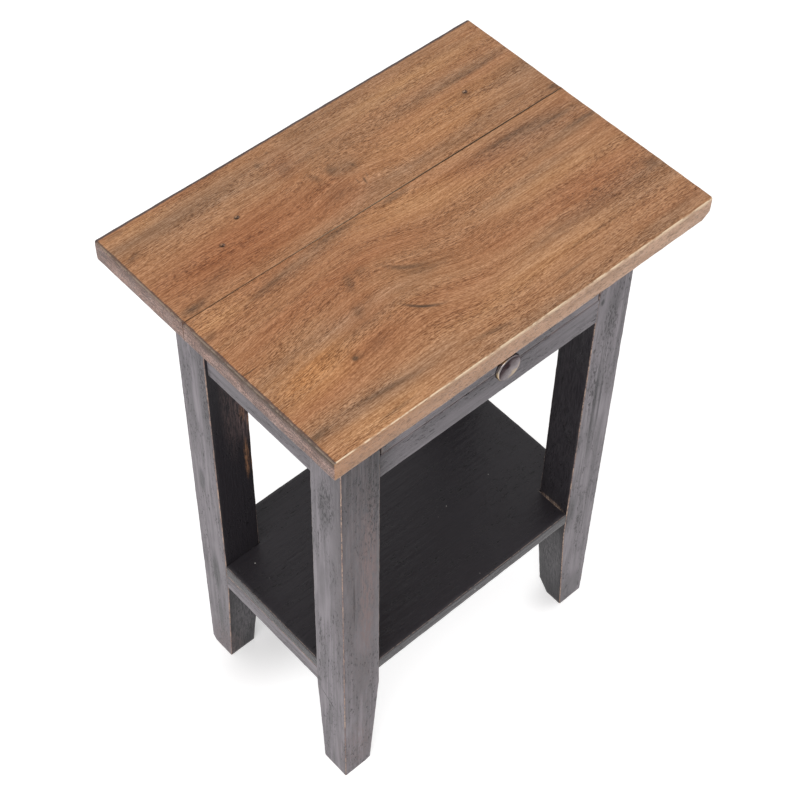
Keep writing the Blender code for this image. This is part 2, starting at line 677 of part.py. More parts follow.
def main():
    clear_scene()
    wood = finish("brown_wood", (0.33, 0.17, 0.08), 0.55)
    paint = finish("black_paint", (0.055, 0.052, 0.056), 0.55)
    bare = finish("bare_wood", (0.36, 0.24, 0.14), 0.75)
    steel = finish("screw_steel", (0.36, 0.35, 0.34), 0.45, 1.0)
    brass = finish("aged_brass", (0.23, 0.18, 0.13), 0.35, 1.0)
    boards = add_top(wood, bare)
    legs = add_legs(paint)
    aprons, stretchers = add_frame_bars(legs, paint)
    add_shelf(stretchers, paint, steel)
    add_drawer_ways(aprons, boards, bare, steel)
    add_drawer_stops(bare)
    slide = empty("drawer_slide", (0.0, FRAME_FRONT, KNOB_HEIGHT))
    front = add_drawer_front(slide, paint)
    add_drawer_sides(slide, bare)
    add_drawer_back_and_panel(slide, bare, steel)
    add_knob(slide, front, brass, steel)


main()
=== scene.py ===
"""Looks of a telephone table: a plank top of worn brown wood on a rubbed black base, with a brass knob."""

import json
import math

import bmesh
import bpy
from bpy.props import FloatProperty, FloatVectorProperty, IntProperty, PointerProperty
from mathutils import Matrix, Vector

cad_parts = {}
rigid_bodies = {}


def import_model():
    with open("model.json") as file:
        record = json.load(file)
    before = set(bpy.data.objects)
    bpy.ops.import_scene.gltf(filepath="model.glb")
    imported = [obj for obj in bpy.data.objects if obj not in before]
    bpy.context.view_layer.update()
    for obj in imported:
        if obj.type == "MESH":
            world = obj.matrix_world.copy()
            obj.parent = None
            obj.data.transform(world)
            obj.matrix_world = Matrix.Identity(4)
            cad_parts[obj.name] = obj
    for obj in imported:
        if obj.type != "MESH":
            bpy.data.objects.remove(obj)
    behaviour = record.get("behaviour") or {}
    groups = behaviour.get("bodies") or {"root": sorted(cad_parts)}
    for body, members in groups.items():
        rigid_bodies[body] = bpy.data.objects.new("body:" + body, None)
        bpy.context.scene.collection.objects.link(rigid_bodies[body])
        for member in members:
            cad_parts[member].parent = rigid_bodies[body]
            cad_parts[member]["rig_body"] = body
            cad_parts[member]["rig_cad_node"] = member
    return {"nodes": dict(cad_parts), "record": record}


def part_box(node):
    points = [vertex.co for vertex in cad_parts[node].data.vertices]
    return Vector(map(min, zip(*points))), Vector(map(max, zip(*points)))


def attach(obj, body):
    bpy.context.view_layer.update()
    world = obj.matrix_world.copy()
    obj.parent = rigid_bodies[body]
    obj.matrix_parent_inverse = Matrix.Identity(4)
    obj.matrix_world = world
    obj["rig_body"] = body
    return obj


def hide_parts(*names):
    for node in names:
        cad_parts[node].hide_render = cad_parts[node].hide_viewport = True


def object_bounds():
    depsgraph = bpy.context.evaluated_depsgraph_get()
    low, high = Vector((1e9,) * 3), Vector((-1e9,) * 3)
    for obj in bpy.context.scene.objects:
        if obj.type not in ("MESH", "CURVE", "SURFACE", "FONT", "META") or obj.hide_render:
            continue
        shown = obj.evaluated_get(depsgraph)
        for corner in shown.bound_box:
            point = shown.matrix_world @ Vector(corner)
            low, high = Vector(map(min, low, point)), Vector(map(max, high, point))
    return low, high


bl_info = {
    "name": "Telephone table",
    "version": (1, 0, 0),
    "blender": (4, 5, 0),
    "location": "3D View > Sidebar > Table",
    "description": "Dresses a telephone table in worn brown wood, rubbed black paint and aged brass",
    "category": "Object",
}

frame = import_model()
cad_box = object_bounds()

X, Y, Z = range(3)
FLAT = (1.0, 1.0, 0.0)
WHITE = (1.0, 1.0, 1.0, 1.0)

# Smallest angle between two faces that counts as an edge
SHARP = math.radians(40)

# Distance within which two places count as the same
TOUCH = 1e-4

# Least share of a unit direction that counts as running along an axis
ALONG = 0.9


# Properties

def number(name, description, default, unit="NONE"):
    return FloatProperty(name=name, description=description, default=default, unit=unit)


def point(name, description, default):
    """A place in metres."""
    return FloatVectorProperty(name=name, description=description, default=default, subtype="TRANSLATION")


def length(name, description, default):
    """A size in metres."""
    return FloatProperty(name=name, description=description, default=default, unit="LENGTH", precision=4)


def colour(name, description, default):
    """A linear colour."""
    return FloatVectorProperty(name=name, description=description, default=default, subtype="COLOR",
                               min=0.0, max=1.0)


class TableSizes(bpy.types.PropertyGroup):
    """Sizes of the worn edges and of the mesh that carries them."""

    top_arris: length("Top arris", "Rounding of the edges of the top", 0.0018)
    joint_arris: length("Joint arris", "Chamfer along the glued joint of the top", 0.0005)
    leg_arris: length("Leg arris", "Rounding of the legs' corners", 0.0015)
    foot_width: length("Foot width", "Width of a leg at the floor", 0.037)
    foot_depth: length("Foot depth", "Depth of a leg at the floor", 0.0365)
    stout_leg: number("Stout leg", "Thickness of the front left leg against that of the others", 1.05)
    bar_arris: length("Bar arris", "Rounding of the long edges of aprons, rails and stretchers", 0.001)
    bar_reach: length("Bar reach", "How far the bars run on into the legs", 0.0008)
    shelf_arris: length("Shelf arris", "Rounding of the shelf's edges", 0.001)
    shelf_gap: length("Shelf gap", "Gap between the shelf's notches and the legs", 0.0003)
    drawer_arris: length("Drawer arris", "Rounding of the drawer front's edges", 0.001)
    mesh_step: length("Mesh step", "Distance between the lines of the worn pieces' meshes", 0.005)
    unevenness: length("Unevenness", "Most that planing and use have taken off a face", 0.0003)
    dent_depth: length("Dent depth", "Depth of the deepest small dents", 0.0003)
    edge_loss: length("Edge loss", "Most that knocks have taken off an edge", 0.0006)
    planing_patch: length("Planing patch", "Size of the hollows that planing and use have left", 0.045)
    dent_patch: length("Dent patch", "Size of the small dents", 0.014)
    knock_patch: length("Knock patch", "Size of the knocks along the edges", 0.011)
    nail_hole: length("Nail hole", "Radius of the old nail holes in the top", 0.0023)
    nail_sink: length("Nail sink", "How far below the top the middle of a nail hole lies", 0.0003)
    knob_sides: IntProperty(name="Knob sides", description="Faces round the knob", default=96, min=24)


class TableColours(bpy.types.PropertyGroup):
    """Colours of the woods, the paint and the metals."""

    wood_orange: colour("Orange wood", "Warm zones of the top", (0.36, 0.136, 0.054))
    wood_tan: colour("Tan wood", "Common colour of the top", (0.42, 0.2, 0.092))
    wood_olive: colour("Olive wood", "Weathered zones of the top", (0.3, 0.168, 0.094))
    wood_pale: colour("Pale wood", "Light zones of the top", (0.57, 0.29, 0.128))
    wood_amber: colour("Amber wood", "Bright warm zones of the top", (0.52, 0.23, 0.086))
    wood_side: colour("Side of the top", "Front and back edges of the top", (0.645, 0.408, 0.28))
    wood_stain: colour("Stained edge", "Dark stain along the top's arrises", (0.07, 0.05, 0.05))
    wood_dark: colour("Dark wood", "Knots, stains and pores of the top", (0.06, 0.034, 0.018))
    # Partly painted highlight: pale enough to stand for the light along the top's arrises as well as their
    # wear
    wood_edge_wear_and_highlight: colour("Worn edge", "Rubbed edges of the top", (0.86, 0.66, 0.46))
    end_grain: colour("End grain", "Ends of the top's boards", (0.53, 0.34, 0.282))
    end_pores: colour("End pores", "Open pores in the ends of the top's boards", (0.085, 0.052, 0.045))
    paint_black: colour("Black paint", "Sound paint of the base", (0.027, 0.024, 0.028))
    # Painted sheen: stands for the light that the outer faces of the base catch
    paint_sheen: colour("Grey paint", "Dusty haze on the outer faces of the base", (0.352, 0.322, 0.345))
    paint_brown: colour("Rubbed paint", "Thin paint with the wood showing through", (0.225, 0.156, 0.15))
    paint_bare: colour("Bare edge", "Wood that shows where the paint has gone", (0.6, 0.43, 0.33))
    paint_chip: colour("Chipped paint", "Orange wood where the paint has flaked off", (0.42, 0.21, 0.11))
    # Also painted shade at the drawer's gaps, in the zones below
    paint_pits_and_shade: colour("Pits", "Hollows in the paint", (0.004, 0.004, 0.004))
    dust: colour("Dust", "Specks of dust on the shelf", (0.6, 0.58, 0.55))
    bare_light: colour("Light bare wood", "Pale wood inside the table", (0.42, 0.28, 0.155))
    bare_dark: colour("Dark bare wood", "Growth lines of the wood inside the table", (0.235, 0.135, 0.065))
    bare_fibre: colour("Bare fibres", "Shade of the fibres of the wood inside", (0.55, 0.5, 0.45))
    brass_dark: colour("Dark brass", "Tarnished face of the knob", (0.048, 0.038, 0.042))
    brass_grey: colour("Rubbed brass", "Rubbed border of the knob's face", (0.25, 0.225, 0.232))
    brass_bright: colour("Bright brass", "Rubbed rim of the knob", (0.56, 0.43, 0.27))
    brass_speck: colour("Brass specks", "Specks on the knob", (0.1, 0.07, 0.05))
    brass_sheen: colour("Brass sheen", "Tint of the knob's flat reflections", (0.45, 0.42, 0.42))
    steel: colour("Steel", "Screws and nails", (0.32, 0.31, 0.3))
    rust: colour("Rust", "Rust on screws and nails", (0.13, 0.075, 0.045))
    floor_plain: colour("Floor", "Floor as it lights the table", (0.8, 0.8, 0.8))
    floor_shown: colour("Shown floor", "Floor as the camera sees it", (0.78, 0.77, 0.77))


class TableStage(bpy.types.PropertyGroup):
    """Camera, lamps and floor."""

    camera_place: point("Camera place", "Where the camera stands", (-0.825336, -0.880073, 1.959770))
    camera_turn: FloatVectorProperty(name="Camera turn", description="Which way the camera looks",
                                     default=(0.666324, -0.014445, -0.732026), subtype="EULER")
    camera_lens: number("Lens", "Focal length in millimetres", 82.616, "CAMERA")
    sensor_width: number("Sensor", "Width of the camera's sensor in millimetres", 36.0, "CAMERA")
    view_depth: length("View depth", "Farthest distance that the camera shows", 100.0)
    sky: number("Sky", "Strength of the light from all round", 0.50)
    key: number("Key lamp", "Power of the large lamp at the front left", 46.0, "POWER")
    key_place: point("Key lamp place", "Where the key lamp hangs", (-1.7, -1.1, 2.5))
    key_size: length("Key lamp size", "Side of the square key lamp", 2.2)
    fill: number("Fill lamp", "Power of the large lamp at the right", 7.0, "POWER")
    fill_place: point("Fill lamp place", "Where the fill lamp hangs", (1.9, -0.6, 1.9))
    fill_size: length("Fill lamp size", "Side of the square fill lamp", 1.8)
    lamp_aim: point("Lamp aim", "Where both lamps point", (0.0, 0.0, 0.4))
    floor_size: length("Floor size", "Side of the square floor", 40.0)
    floor_glow: number("Floor glow", "How far the floor shows brighter than it is lit", 0.63)


# Selecting and shaping

def select_only(piece):
    """Makes a piece the only selected and the active object."""
    bpy.ops.object.select_all(action="DESELECT")
    piece.select_set(True)
    bpy.context.view_layer.objects.active = piece


def open_mesh(piece):
    select_only(piece)
    bpy.ops.object.mode_set(mode="EDIT")


def close_mesh():
    bpy.ops.object.mode_set(mode="OBJECT")


def pick_all():
    bpy.ops.mesh.select_all(action="SELECT")


def pick(piece, kind, test):
    """Selects the vertices, edges or faces of an open mesh that pass a test."""
    bpy.ops.mesh.select_mode(type=kind)
    bpy.ops.mesh.select_all(action="DESELECT")
    mesh = bmesh.from_edit_mesh(piece.data)
    everything = {"VERT": mesh.verts, "EDGE": mesh.edges, "FACE": mesh.faces}[kind]
    chosen = [part for part in everything if test(part)]
    if not chosen:
        raise RuntimeError(f"{piece.name}: nothing to select")
    for part in chosen:
        part.select_set(True)
    bmesh.update_edit_mesh(piece.data)


def run_of(edge):
    """Unit direction of an edge."""
    return (edge.verts[1].co - edge.verts[0].co).normalized()


def runs_along(edge, axis):
    return abs(run_of(edge)[axis]) > ALONG


def middle_of(edge):
    return (edge.verts[0].co + edge.verts[1].co) / 2


def add_block(name, low, high):
    """Adds a box between two corners, with its place in its mesh, and opens the mesh."""
    low, high = Vector(low), Vector(high)
    bpy.ops.object.select_all(action="DESELECT")
    bpy.ops.mesh.primitive_cube_add(size=1.0, location=(low + high) / 2, scale=high - low)
    piece = bpy.context.active_object
    piece.name = piece.data.name = name
    bpy.ops.object.transform_apply(location=True, rotation=True, scale=True)
    open_mesh(piece)
    return piece


def add_copy(name, source):
    piece = source.copy()
    piece.data = source.data.copy()
    piece.name = piece.data.name = name
    bpy.context.collection.objects.link(piece)
    return piece


def divide(piece, axis, step, test=lambda edge: True):
    """Divides the edges that run along an axis into lengths of about the step."""
    pick(piece, "EDGE", lambda e: runs_along(e, axis) and test(e))
    mesh = bmesh.from_edit_mesh(piece.data)
    longest = max(edge.calc_length() for edge in mesh.edges if edge.select)
    cuts = round(longest / step) - 1
    if cuts > 0:
        bpy.ops.mesh.subdivide(number_cuts=cuts)


def bevel(width, steps):
    bpy.ops.mesh.bevel(offset=width, segments=steps, affect="EDGES", clamp_overlap=False)


def round_arrises(piece, width, steps, test=lambda edge: True):
    """Rounds the sharp edges that pass a test and counts them as worn."""
    def sharp(edge):
        return len(edge.link_faces) == 2 and edge.calc_face_angle() > SHARP and test(edge)

    pick(piece, "EDGE", sharp)
    bevel(width, steps)
    count_as_worn(piece)


def count_as_worn(piece):
    """Adds the selected faces to the piece's group of worn places, their border at half strength."""
    group = piece.vertex_groups.get("worn") or piece.vertex_groups.new(name="worn")
    mesh = bmesh.from_edit_mesh(piece.data)
    weights = mesh.verts.layers.deform.verify()
    for vertex in mesh.verts:
        if vertex.select:
            inside = all(face.select for face in vertex.link_faces)
            vertex[weights][group.index] = 1.0 if inside else 0.5
    bmesh.update_edit_mesh(piece.data)


def split_off(piece, place, outwards):
    """Splits a corner off an open mesh, along the plane through a place."""
    bpy.ops.mesh.select_mode(type="VERT")
    pick_all()
    bpy.ops.mesh.bisect(plane_co=place, plane_no=outwards, use_fill=True, clear_outer=True)
    count_as_worn(piece)


def wear_texture(name, size):
    """Adds a cloudy texture with patches of about a size, for taking material off."""
    texture = bpy.data.textures.new(name, "CLOUDS")
    texture.noise_scale = size
    texture.noise_depth = 2


def take_off(piece, texture, depth, group=""):
    """Takes an uneven layer off a piece, or off one group of its vertices."""
    layer = piece.modifiers.new("take_off", "DISPLACE")
    layer.texture = texture
    layer.texture_coords = "LOCAL"
    layer.mid_level = 1.0
    layer.strength = depth
    layer.vertex_group = group
    select_only(piece)
    bpy.ops.object.modifier_apply(modifier=layer.name)


def carve(piece, cutter):
    """Cuts the shape of another object out of a piece."""
    hollow = piece.modifiers.new("carve", "BOOLEAN")
    hollow.operation = "DIFFERENCE"
    hollow.solver = "EXACT"
    hollow.object = cutter
    select_only(piece)
    bpy.ops.object.modifier_apply(modifier=hollow.name)
    bpy.data.objects.remove(cutter)


def set_wear(piece, wear_at):
    """Stores how worn a piece is, which a function says for each of its vertices."""
    wear = piece.data.attributes.new("wear", "FLOAT", "POINT")
    wear.data.foreach_set("value", [wear_at(vertex) for vertex in piece.data.vertices])


def weather(piece):
    """Wears an otherwise finished wooden piece: faces a little, edges more."""
    sizes = bpy.context.scene.table_sizes
    take_off(piece, bpy.data.textures["planing"], sizes.unevenness)
    take_off(piece, bpy.data.textures["dents"], sizes.dent_depth)
    take_off(piece, bpy.data.textures["knocks"], sizes.edge_loss, "worn")
    worn = piece.vertex_groups["worn"].index
    set_wear(piece, lambda v: max((g.weight for g in v.groups if g.group == worn), default=0.0))


def settle(piece, body, slot, finish, *nodes):
    """Shades a piece, gives it the finish of a name and sets it on its body in place of the CAD nodes."""
    select_only(piece)
    bpy.ops.object.shade_smooth_by_angle(angle=SHARP)
    piece.data.materials.clear()
    piece.data.materials.append(bpy.data.materials[finish])
    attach(piece, body)
    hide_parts(*nodes)


# Building finishes from nodes

class Value:
    """What a node gives. Sums, products and so on of values add the nodes that work them out."""

    def __init__(self, socket):
        self.socket = socket

    def other(self, name):
        """Another output of the same node."""
        return Value(self.socket.node.outputs[name])

    def __add__(self, second):
        return calc("ADD", self, second)

    def __sub__(self, second):
        return calc("SUBTRACT", self, second)

    def __rsub__(self, first):
        return calc("SUBTRACT", first, self)

    def __mul__(self, second):
        return calc("MULTIPLY", self, second)

    def __truediv__(self, second):
        return calc("DIVIDE", self, second)

    def __pow__(self, second):
        return calc("POWER", self, second)

    def __abs__(self):
        return calc("ABSOLUTE", self)


def node(kind, inputs, output=0, tree=None, **settings):
    """Adds a node and gives one of its outputs. Values among its inputs are linked, and the others are set.

    Unless the tree is named, the node goes into that of its linked inputs.
    """
    links = {name: value.socket for name, value in inputs.items() if isinstance(value, Value)}
    if tree is None:
        tree = next(iter(links.values())).id_data
    new = tree.nodes.new("ShaderNode" + kind)
    for name, value in settings.items():
        setattr(new, name, value)
    for name, value in inputs.items():
        if name in links:
            tree.links.new(links[name], new.inputs[name])
        else:
            new.inputs[name].default_value = value
    return Value(new.outputs[output]) if new.outputs else None


def calc(operation, *terms, clamp=False):
    return node("Math", dict(enumerate(terms)), operation=operation, use_clamp=clamp)


def vector(operation, *terms, output="Vector"):
    return node("VectorMath", dict(enumerate(terms)), output, operation=operation)


def size_of(place):
    """Length of a vector."""
    return vector("LENGTH", place, output="Value")


def parts(place):
    """A vector's X, Y and Z."""
    split = node("SeparateXYZ", {0: place})
    return [split.other(axis) for axis in (X, Y, Z)]


def noise(place, scale, detail=2.0, roughness=0.5, distortion=0.0, offset=(0.0, 0.0, 0.0)):
    """Noise from 0 to 1. Scale is how many patches lie in a metre along each axis."""
    scaled = vector("MULTIPLY_ADD", place, scale, offset)
    return node("TexNoise", {"Vector": scaled, "Scale": 1.0, "Detail": detail, "Roughness": roughness,
                             "Distortion": distortion}, "Fac")


def fade(value, start, end, low=0.0, high=1.0):
    """Goes smoothly from low to high while the value goes from start to end."""
    return node("MapRange", {"Value": value, "From Min": start, "From Max": end, "To Min": low,
                             "To Max": high}, interpolation_type="SMOOTHSTEP")


def tint(name):
    """One of the table's colours."""
    return (*getattr(bpy.context.scene.table_colours, name), 1.0)


def ramp(factor, *stops):
    """Colour ramp through (place, colour's name) stops."""
    shades = node("ValToRGB", {"Fac": factor})
    elements = shades.socket.node.color_ramp.elements
    while len(elements) < len(stops):
        elements.new(1.0)
    for element, (place, shade) in zip(elements, stops):
        element.position = place
        element.color = tint(shade)
    return shades


def mix(factor, first, second, blend="MIX"):
    """Mixes two colours, which are values or the names of the table's colours."""
    first, second = (shade if isinstance(shade, Value) else tint(shade) for shade in (first, second))
    return node("Mix", {0: factor, 6: first, 7: second}, 2, data_type="RGBA", blend_type=blend)


def bump(height, distance, strength):
    return node("Bump", {"Height": height, "Distance": distance, "Strength": strength})


def start_finish(name, **plain):
    """Adds a material, sets its shader's plain inputs and gives its node tree."""
    material = bpy.data.materials.new(name)
    material.use_nodes = True
    tree = material.node_tree
    for plain_name, value in plain.items():
        tree.nodes["Principled BSDF"].inputs[plain_name].default_value = value
    return tree


def feed(tree, colour, roughness, normal):
    """Links a finish's colour, roughness and bumps to its shader."""
    for name, value in (("Base Color", colour), ("Roughness", roughness), ("Normal", normal)):
        tree.links.new(value.socket, tree.nodes["Principled BSDF"].inputs[name])


def wear_of(tree):
    """The piece's own wear, from 0 on sound faces to 1 on worn edges."""
    return node("Attribute", {}, "Fac", tree, attribute_name="wear")


def coordinate(tree, kind):
    return node("TexCoord", {}, kind, tree)


GRAIN_TURNS = {X: (0.0, 0.0, 0.0), Y: (0.0, 0.0, -math.pi / 2), Z: (0.0, math.pi / 2, 0.0)}


def grain_place(tree, axis, shift=(0.0, 0.0, 0.0)):
    """Object coordinates turned so that the grain runs along X."""
    place = coordinate(tree, "Object")
    return node("Mapping", {"Vector": place, "Rotation": GRAIN_TURNS[axis], "Location": shift})


def spot(place, centre, size, turn=0.0, soft=1.0):
    """1 at the centre of an oval seen from above, falling to 0 at its outline."""
    local = node("Mapping", {"Vector": place, "Location": (*centre, 0.0), "Scale": (*size, 1.0),
                             "Rotation": (0.0, 0.0, turn)}, vector_type="TEXTURE")
    return fade(size_of(vector("MULTIPLY", local, FLAT)), 1.0, 1.0 - soft)


def blot(place, centre, size, turn=0.0):
    """1 in the middle of an egg-shaped zone, which may be turned about X, falling to 0 at its outline."""
    local = node("Mapping", {"Vector": place, "Location": centre, "Scale": size,
                             "Rotation": (turn, 0.0, 0.0)}, vector_type="TEXTURE")
    return fade(size_of(local), 1.0, 0.3)


def bow(place, centre, radius, width):
    """1 along a circle on the top, falling to 0 at a distance of width from it."""
    away = vector("SUBTRACT", vector("MULTIPLY", place, FLAT), (*centre, 0.0))
    return fade(abs(size_of(away) - radius), width, 0.0)


def peak(x, y, centre, left, right, depth):
    """1 over a centre, falling to 0 at its own distance to the left, to the right and across the grain."""
    along = x - centre[0]
    along = calc("MAXIMUM", along / right, along / -left)
    return fade(along, 1.0, 0.0) * fade(abs(y - centre[1]), depth, 0.2 * depth)


WOOD_IOR = 1.36
PAINT_IOR = 1.2
SHELF_IOR = 1.3


def brown_wood(name, shift, swirl, tints, marks, arcs, lines, splits):
    """Worn brown wood with its grain along X.

    The shift moves the pattern, so that no two boards are alike. The swirl is the (centre, left, right,
    depth, rise) of the grain round a knot. Tints are (colour, centre, size, depth, turn) and marks are
    (centre, size, depth, turn, softness), where a turn of 0 and a softness of 1 are left out. Arcs are
    (circle's centre, radius, width, centre, size, depth) and lines are (axis, place, width, depth). Splits
    are like marks, and go on down the ends of the board.
    """
    tree = start_finish(name, IOR=WOOD_IOR)
    place = grain_place(tree, X)
    own = grain_place(tree, X, shift)
    x, y, z = parts(place)
    below = cad_box[1][Z] - z
    rise = peak(x, y, *swirl[:-1]) * -swirl[-1]
    sway = noise(own, (4.0, 13.0, 4.0)) * 0.012 + rise
    grain = vector("ADD", own, node("CombineXYZ", {"Y": sway}))

    zones = noise(grain, (2.4, 19.0, 19.0), 3.0, 0.55)
    bands = noise(grain, (5.0, 95.0, 60.0), 4.0, 0.6)
    fibres = noise(grain, (38.0, 880.0, 450.0), 2.5, 0.75)
    pores = noise(grain, (170.0, 1400.0, 900.0), 1.5, 0.6, offset=(3.1, 7.7, 1.3))
    rays = noise(grain, (300.0, 1100.0, 900.0), 1.0, offset=(1.0, 4.0, 2.0))
    speckle = noise(grain, (7.0, 60.0, 48.0), offset=(5.0, 1.0, 2.0))
    grit = noise(own, (230.0, 620.0, 620.0), 3.0, 0.75)
    patchy = noise(own, (70.0, 160.0, 160.0), 3.0, 0.6)
    blotches = noise(own, (26.0, 34.0, 90.0), 3.0, 0.6)
    rings = noise(own, (60.0, 70.0, 520.0), 4.0, 0.7)

    wood = ramp(zones, (0.26, "wood_olive"), (0.50, "wood_tan"), (0.77, "wood_orange"))
    ragged = (bands - 0.5) * 1.3 + 0.72
    for shade, centre, size, depth, *turn in tints:
        zone = calc("MULTIPLY", spot(place, centre, size, *turn) * ragged, depth, clamp=True)
        wood = mix(zone, wood, shade)
    pore = fade(pores, 0.50, 0.66) * fade(speckle, 0.36, 0.64, 0.35, 1.0)
    tone = fade(bands, 0.30, 0.70, 1.07, 0.94) * fade(fibres, 0.28, 0.74, 1.36, 0.71)
    tone = tone * (1.0 - pore * 0.56) * fade(rays, 0.30, 0.74, 0.88, 1.21)
    warm = node("CombineXYZ", {"X": tone, "Y": tone ** 1.3, "Z": tone ** 1.7})
    wood = mix(1.0, wood, warm, "MULTIPLY")
    for centre, size, depth, *shape in marks:
        wood = mix(spot(place, centre, size, *shape) * depth, wood, "wood_dark")
    for middle, radius, width, centre, size, depth in arcs:
        stain = bow(place, middle, radius, width) * spot(place, centre, size)
        wood = mix(stain * depth, wood, "wood_dark")

    facing = parts(coordinate(tree, "Normal"))
    side = mix(fade(x, -0.30, 0.24, 0.75, 0.0), "wood_side", "wood_tan")
    side = mix(fade(blotches, 0.44, 0.64, 0.0, 0.4), side, "wood_olive")
    side = mix(fade(grit, 0.50, 0.64, 0.0, 0.5), side, "wood_dark")
    # Painted highlight: a pale band along the upper edge of the front and back sides, from left of the middle
    # to the right end, stands for light caught there
    rubbed = fade(below, 0.005, 0.002, 0.0, 0.7) * fade(x, -0.16, -0.04)
    side = mix(rubbed * fade(patchy, 0.38, 0.54, 0.3, 1.0), side, "wood_edge_wear_and_highlight")
    wood = mix(fade(abs(facing[Y]), 0.55, 0.85), wood, side)
    ends = mix(fade(rings, 0.42, 0.64, 0.0, 0.7), "end_grain", "end_pores")
    ends = mix(fade(grit, 0.46, 0.60, 0.0, 0.8), ends, "end_pores")
    ends = mix(fade(blotches, 0.44, 0.64, 0.0, 0.4), ends, "end_pores")
    stain = fade(y, 0.00, 0.04, 0.85, 0.35)
    ends = mix(fade(below, 0.0145, 0.0025, 0.0, stain), ends, "wood_dark")
    wood = mix(fade(abs(facing[X]), 0.55, 0.85), wood, ends)
    for centre, size, depth, *shape in splits:
        wood = mix(spot(place, centre, size, *shape) * depth, wood, "wood_dark")
    # Worn arrises, painted pale enough to stand for the highlight along them too
    rubbed = fade(wear_of(tree), 0.58, 0.88) * fade(patchy, 0.38, 0.54, 0.2, 1.0)
    wood = mix(rubbed, wood, "wood_edge_wear_and_highlight")
    upwards = fade(facing[Z], 0.2, 0.6)
    for axis, at, width, depth in lines:
        torn = patchy * 0.0024 + abs((x, y, z)[axis] - at)
        stain = fade(torn, width + 0.0012, width * 0.6 + 0.0012, 0.0, depth)
        wood = mix(stain * upwards, wood, "wood_stain")
    feed(tree, wood, fade(bands, 0.3, 0.7, 0.42, 0.56), bump(fibres - pore, 0.0003, 0.9))


def black_paint(name, axis, outer_sheen=1.0, edges=1.0, ior=PAINT_IOR, dust=0.0):
    """Black paint rubbed through at the edges, over wood whose grain runs along an axis.

    The outer sheen is how strong the painted sheen is on the faces that look away from the middle of the
    table: a pale colour that stands for the light those faces catch, while the inner faces stay dark as in
    shade. Edges is how far the edges are rubbed, and dust the share of the surface's cells with a speck in
    them.
    """
    tree = start_finish(name, IOR=ior)
    here = coordinate(tree, "Object")
    place = grain_place(tree, axis)
    streaks = noise(place, (7.0, 230.0, 230.0), 4.0, 0.65)
    clouds = noise(place, (12.0, 46.0, 46.0), 4.0, 0.6)
    dents = noise(place, (60.0, 150.0, 150.0), offset=(4.0, 2.0, 9.0))
    fibres = noise(place, (70.0, 620.0, 620.0), 3.0, 0.7)
    scuffs = noise(place, (150.0, 560.0, 560.0), 2.0, 0.6, 0.5, offset=(2.0, 5.0, 1.0))
    patchy = noise(place, (260.0, 400.0, 400.0), 3.0, 0.7)

    level = vector("MULTIPLY", here, FLAT)
    outwards = vector("DOT_PRODUCT", level, coordinate(tree, "Normal"), output="Value")
    tone = clouds * 0.4 + streaks * 0.6
    # Painted sheen: only faces that look away from the table's middle get it, and the inner faces stay dark
    # as in shade
    sheen_share = fade(tone, 0.36, 0.64, 0.4 * outer_sheen, outer_sheen) * fade(outwards, -0.02, 0.06)
    for centre, size, depth, *turn in SHEEN_GAPS:
        gap = blot(here, centre, size, *turn) * fade(streaks, 0.38, 0.56, 0.4 * depth, depth)
        sheen_share = sheen_share * (1.0 - gap)
    paint = mix(sheen_share, "paint_black", "paint_sheen")
    for shade, centre, size, depth in PAINT_PATCHES:
        bald = blot(here, centre, size) * fade(fibres, 0.36, 0.60, 0.0, depth)
        paint = mix(bald, paint, shade)
    pit = fade(scuffs, 0.57, 0.67) * fade(clouds, 0.58, 0.44)
    for centre, size in PITTED_ZONES:
        pit = calc("MAXIMUM", pit, blot(here, centre, size) * fade(scuffs, 0.50, 0.60))
    paint = mix(pit * 0.65, paint, "paint_pits_and_shade")
    rubbed = fade(wear_of(tree), 0.52, 0.80) * fade(patchy, 0.38, 0.52, 0.15 * edges, edges)
    rubbed = rubbed * fade(clouds, 0.34, 0.50, 0.4, 1.0)
    bare = mix(fade(fibres, 0.35, 0.65), "paint_bare", "paint_brown")
    paint = mix(rubbed, paint, bare)
    if dust:
        cells = node("TexVoronoi", {"Vector": place, "Scale": 60.0, "Randomness": 1.0}, "Distance")
        chance = parts(cells.other("Color"))[X]
        speck = fade(cells, 0.075, 0.03) * fade(chance, 1.0 - dust, 1.0 - 0.8 * dust)
        paint = mix(speck, paint, "dust")
    gloss = fade(sheen_share + rubbed, 0.0, 1.2, 0.30, 0.62)
    height = fibres * 0.3 + streaks + dents * 0.7 - pit * 0.5
    feed(tree, paint, gloss, bump(height, 0.0008, 0.9))


def bare_wood(name, axis):
    """Planed softwood left bare, with its grain along an axis."""
    tree = start_finish(name)
    place = grain_place(tree, axis)
    drift = noise(place, (5.0, 20.0, 20.0))
    lines = noise(place, (2.5, 130.0, 130.0), 3.0, 0.6, 0.4, offset=(0.0, 0.0, 2.0))
    fibres = noise(place, (50.0, 800.0, 800.0), 3.0, 0.6)
    wood = mix(fade(lines, 0.42, 0.66), "bare_light", "bare_dark")
    wood = mix(fade(fibres, 0.35, 0.75, 0.0, 0.5), wood, "bare_fibre", "MULTIPLY")
    wood = mix(fade(drift, 0.35, 0.7, 0.0, 0.4), wood, "bare_dark")
    feed(tree, wood, fade(fibres, 0.3, 0.7, 0.55, 0.72), bump(fibres, 0.00025, 0.7))


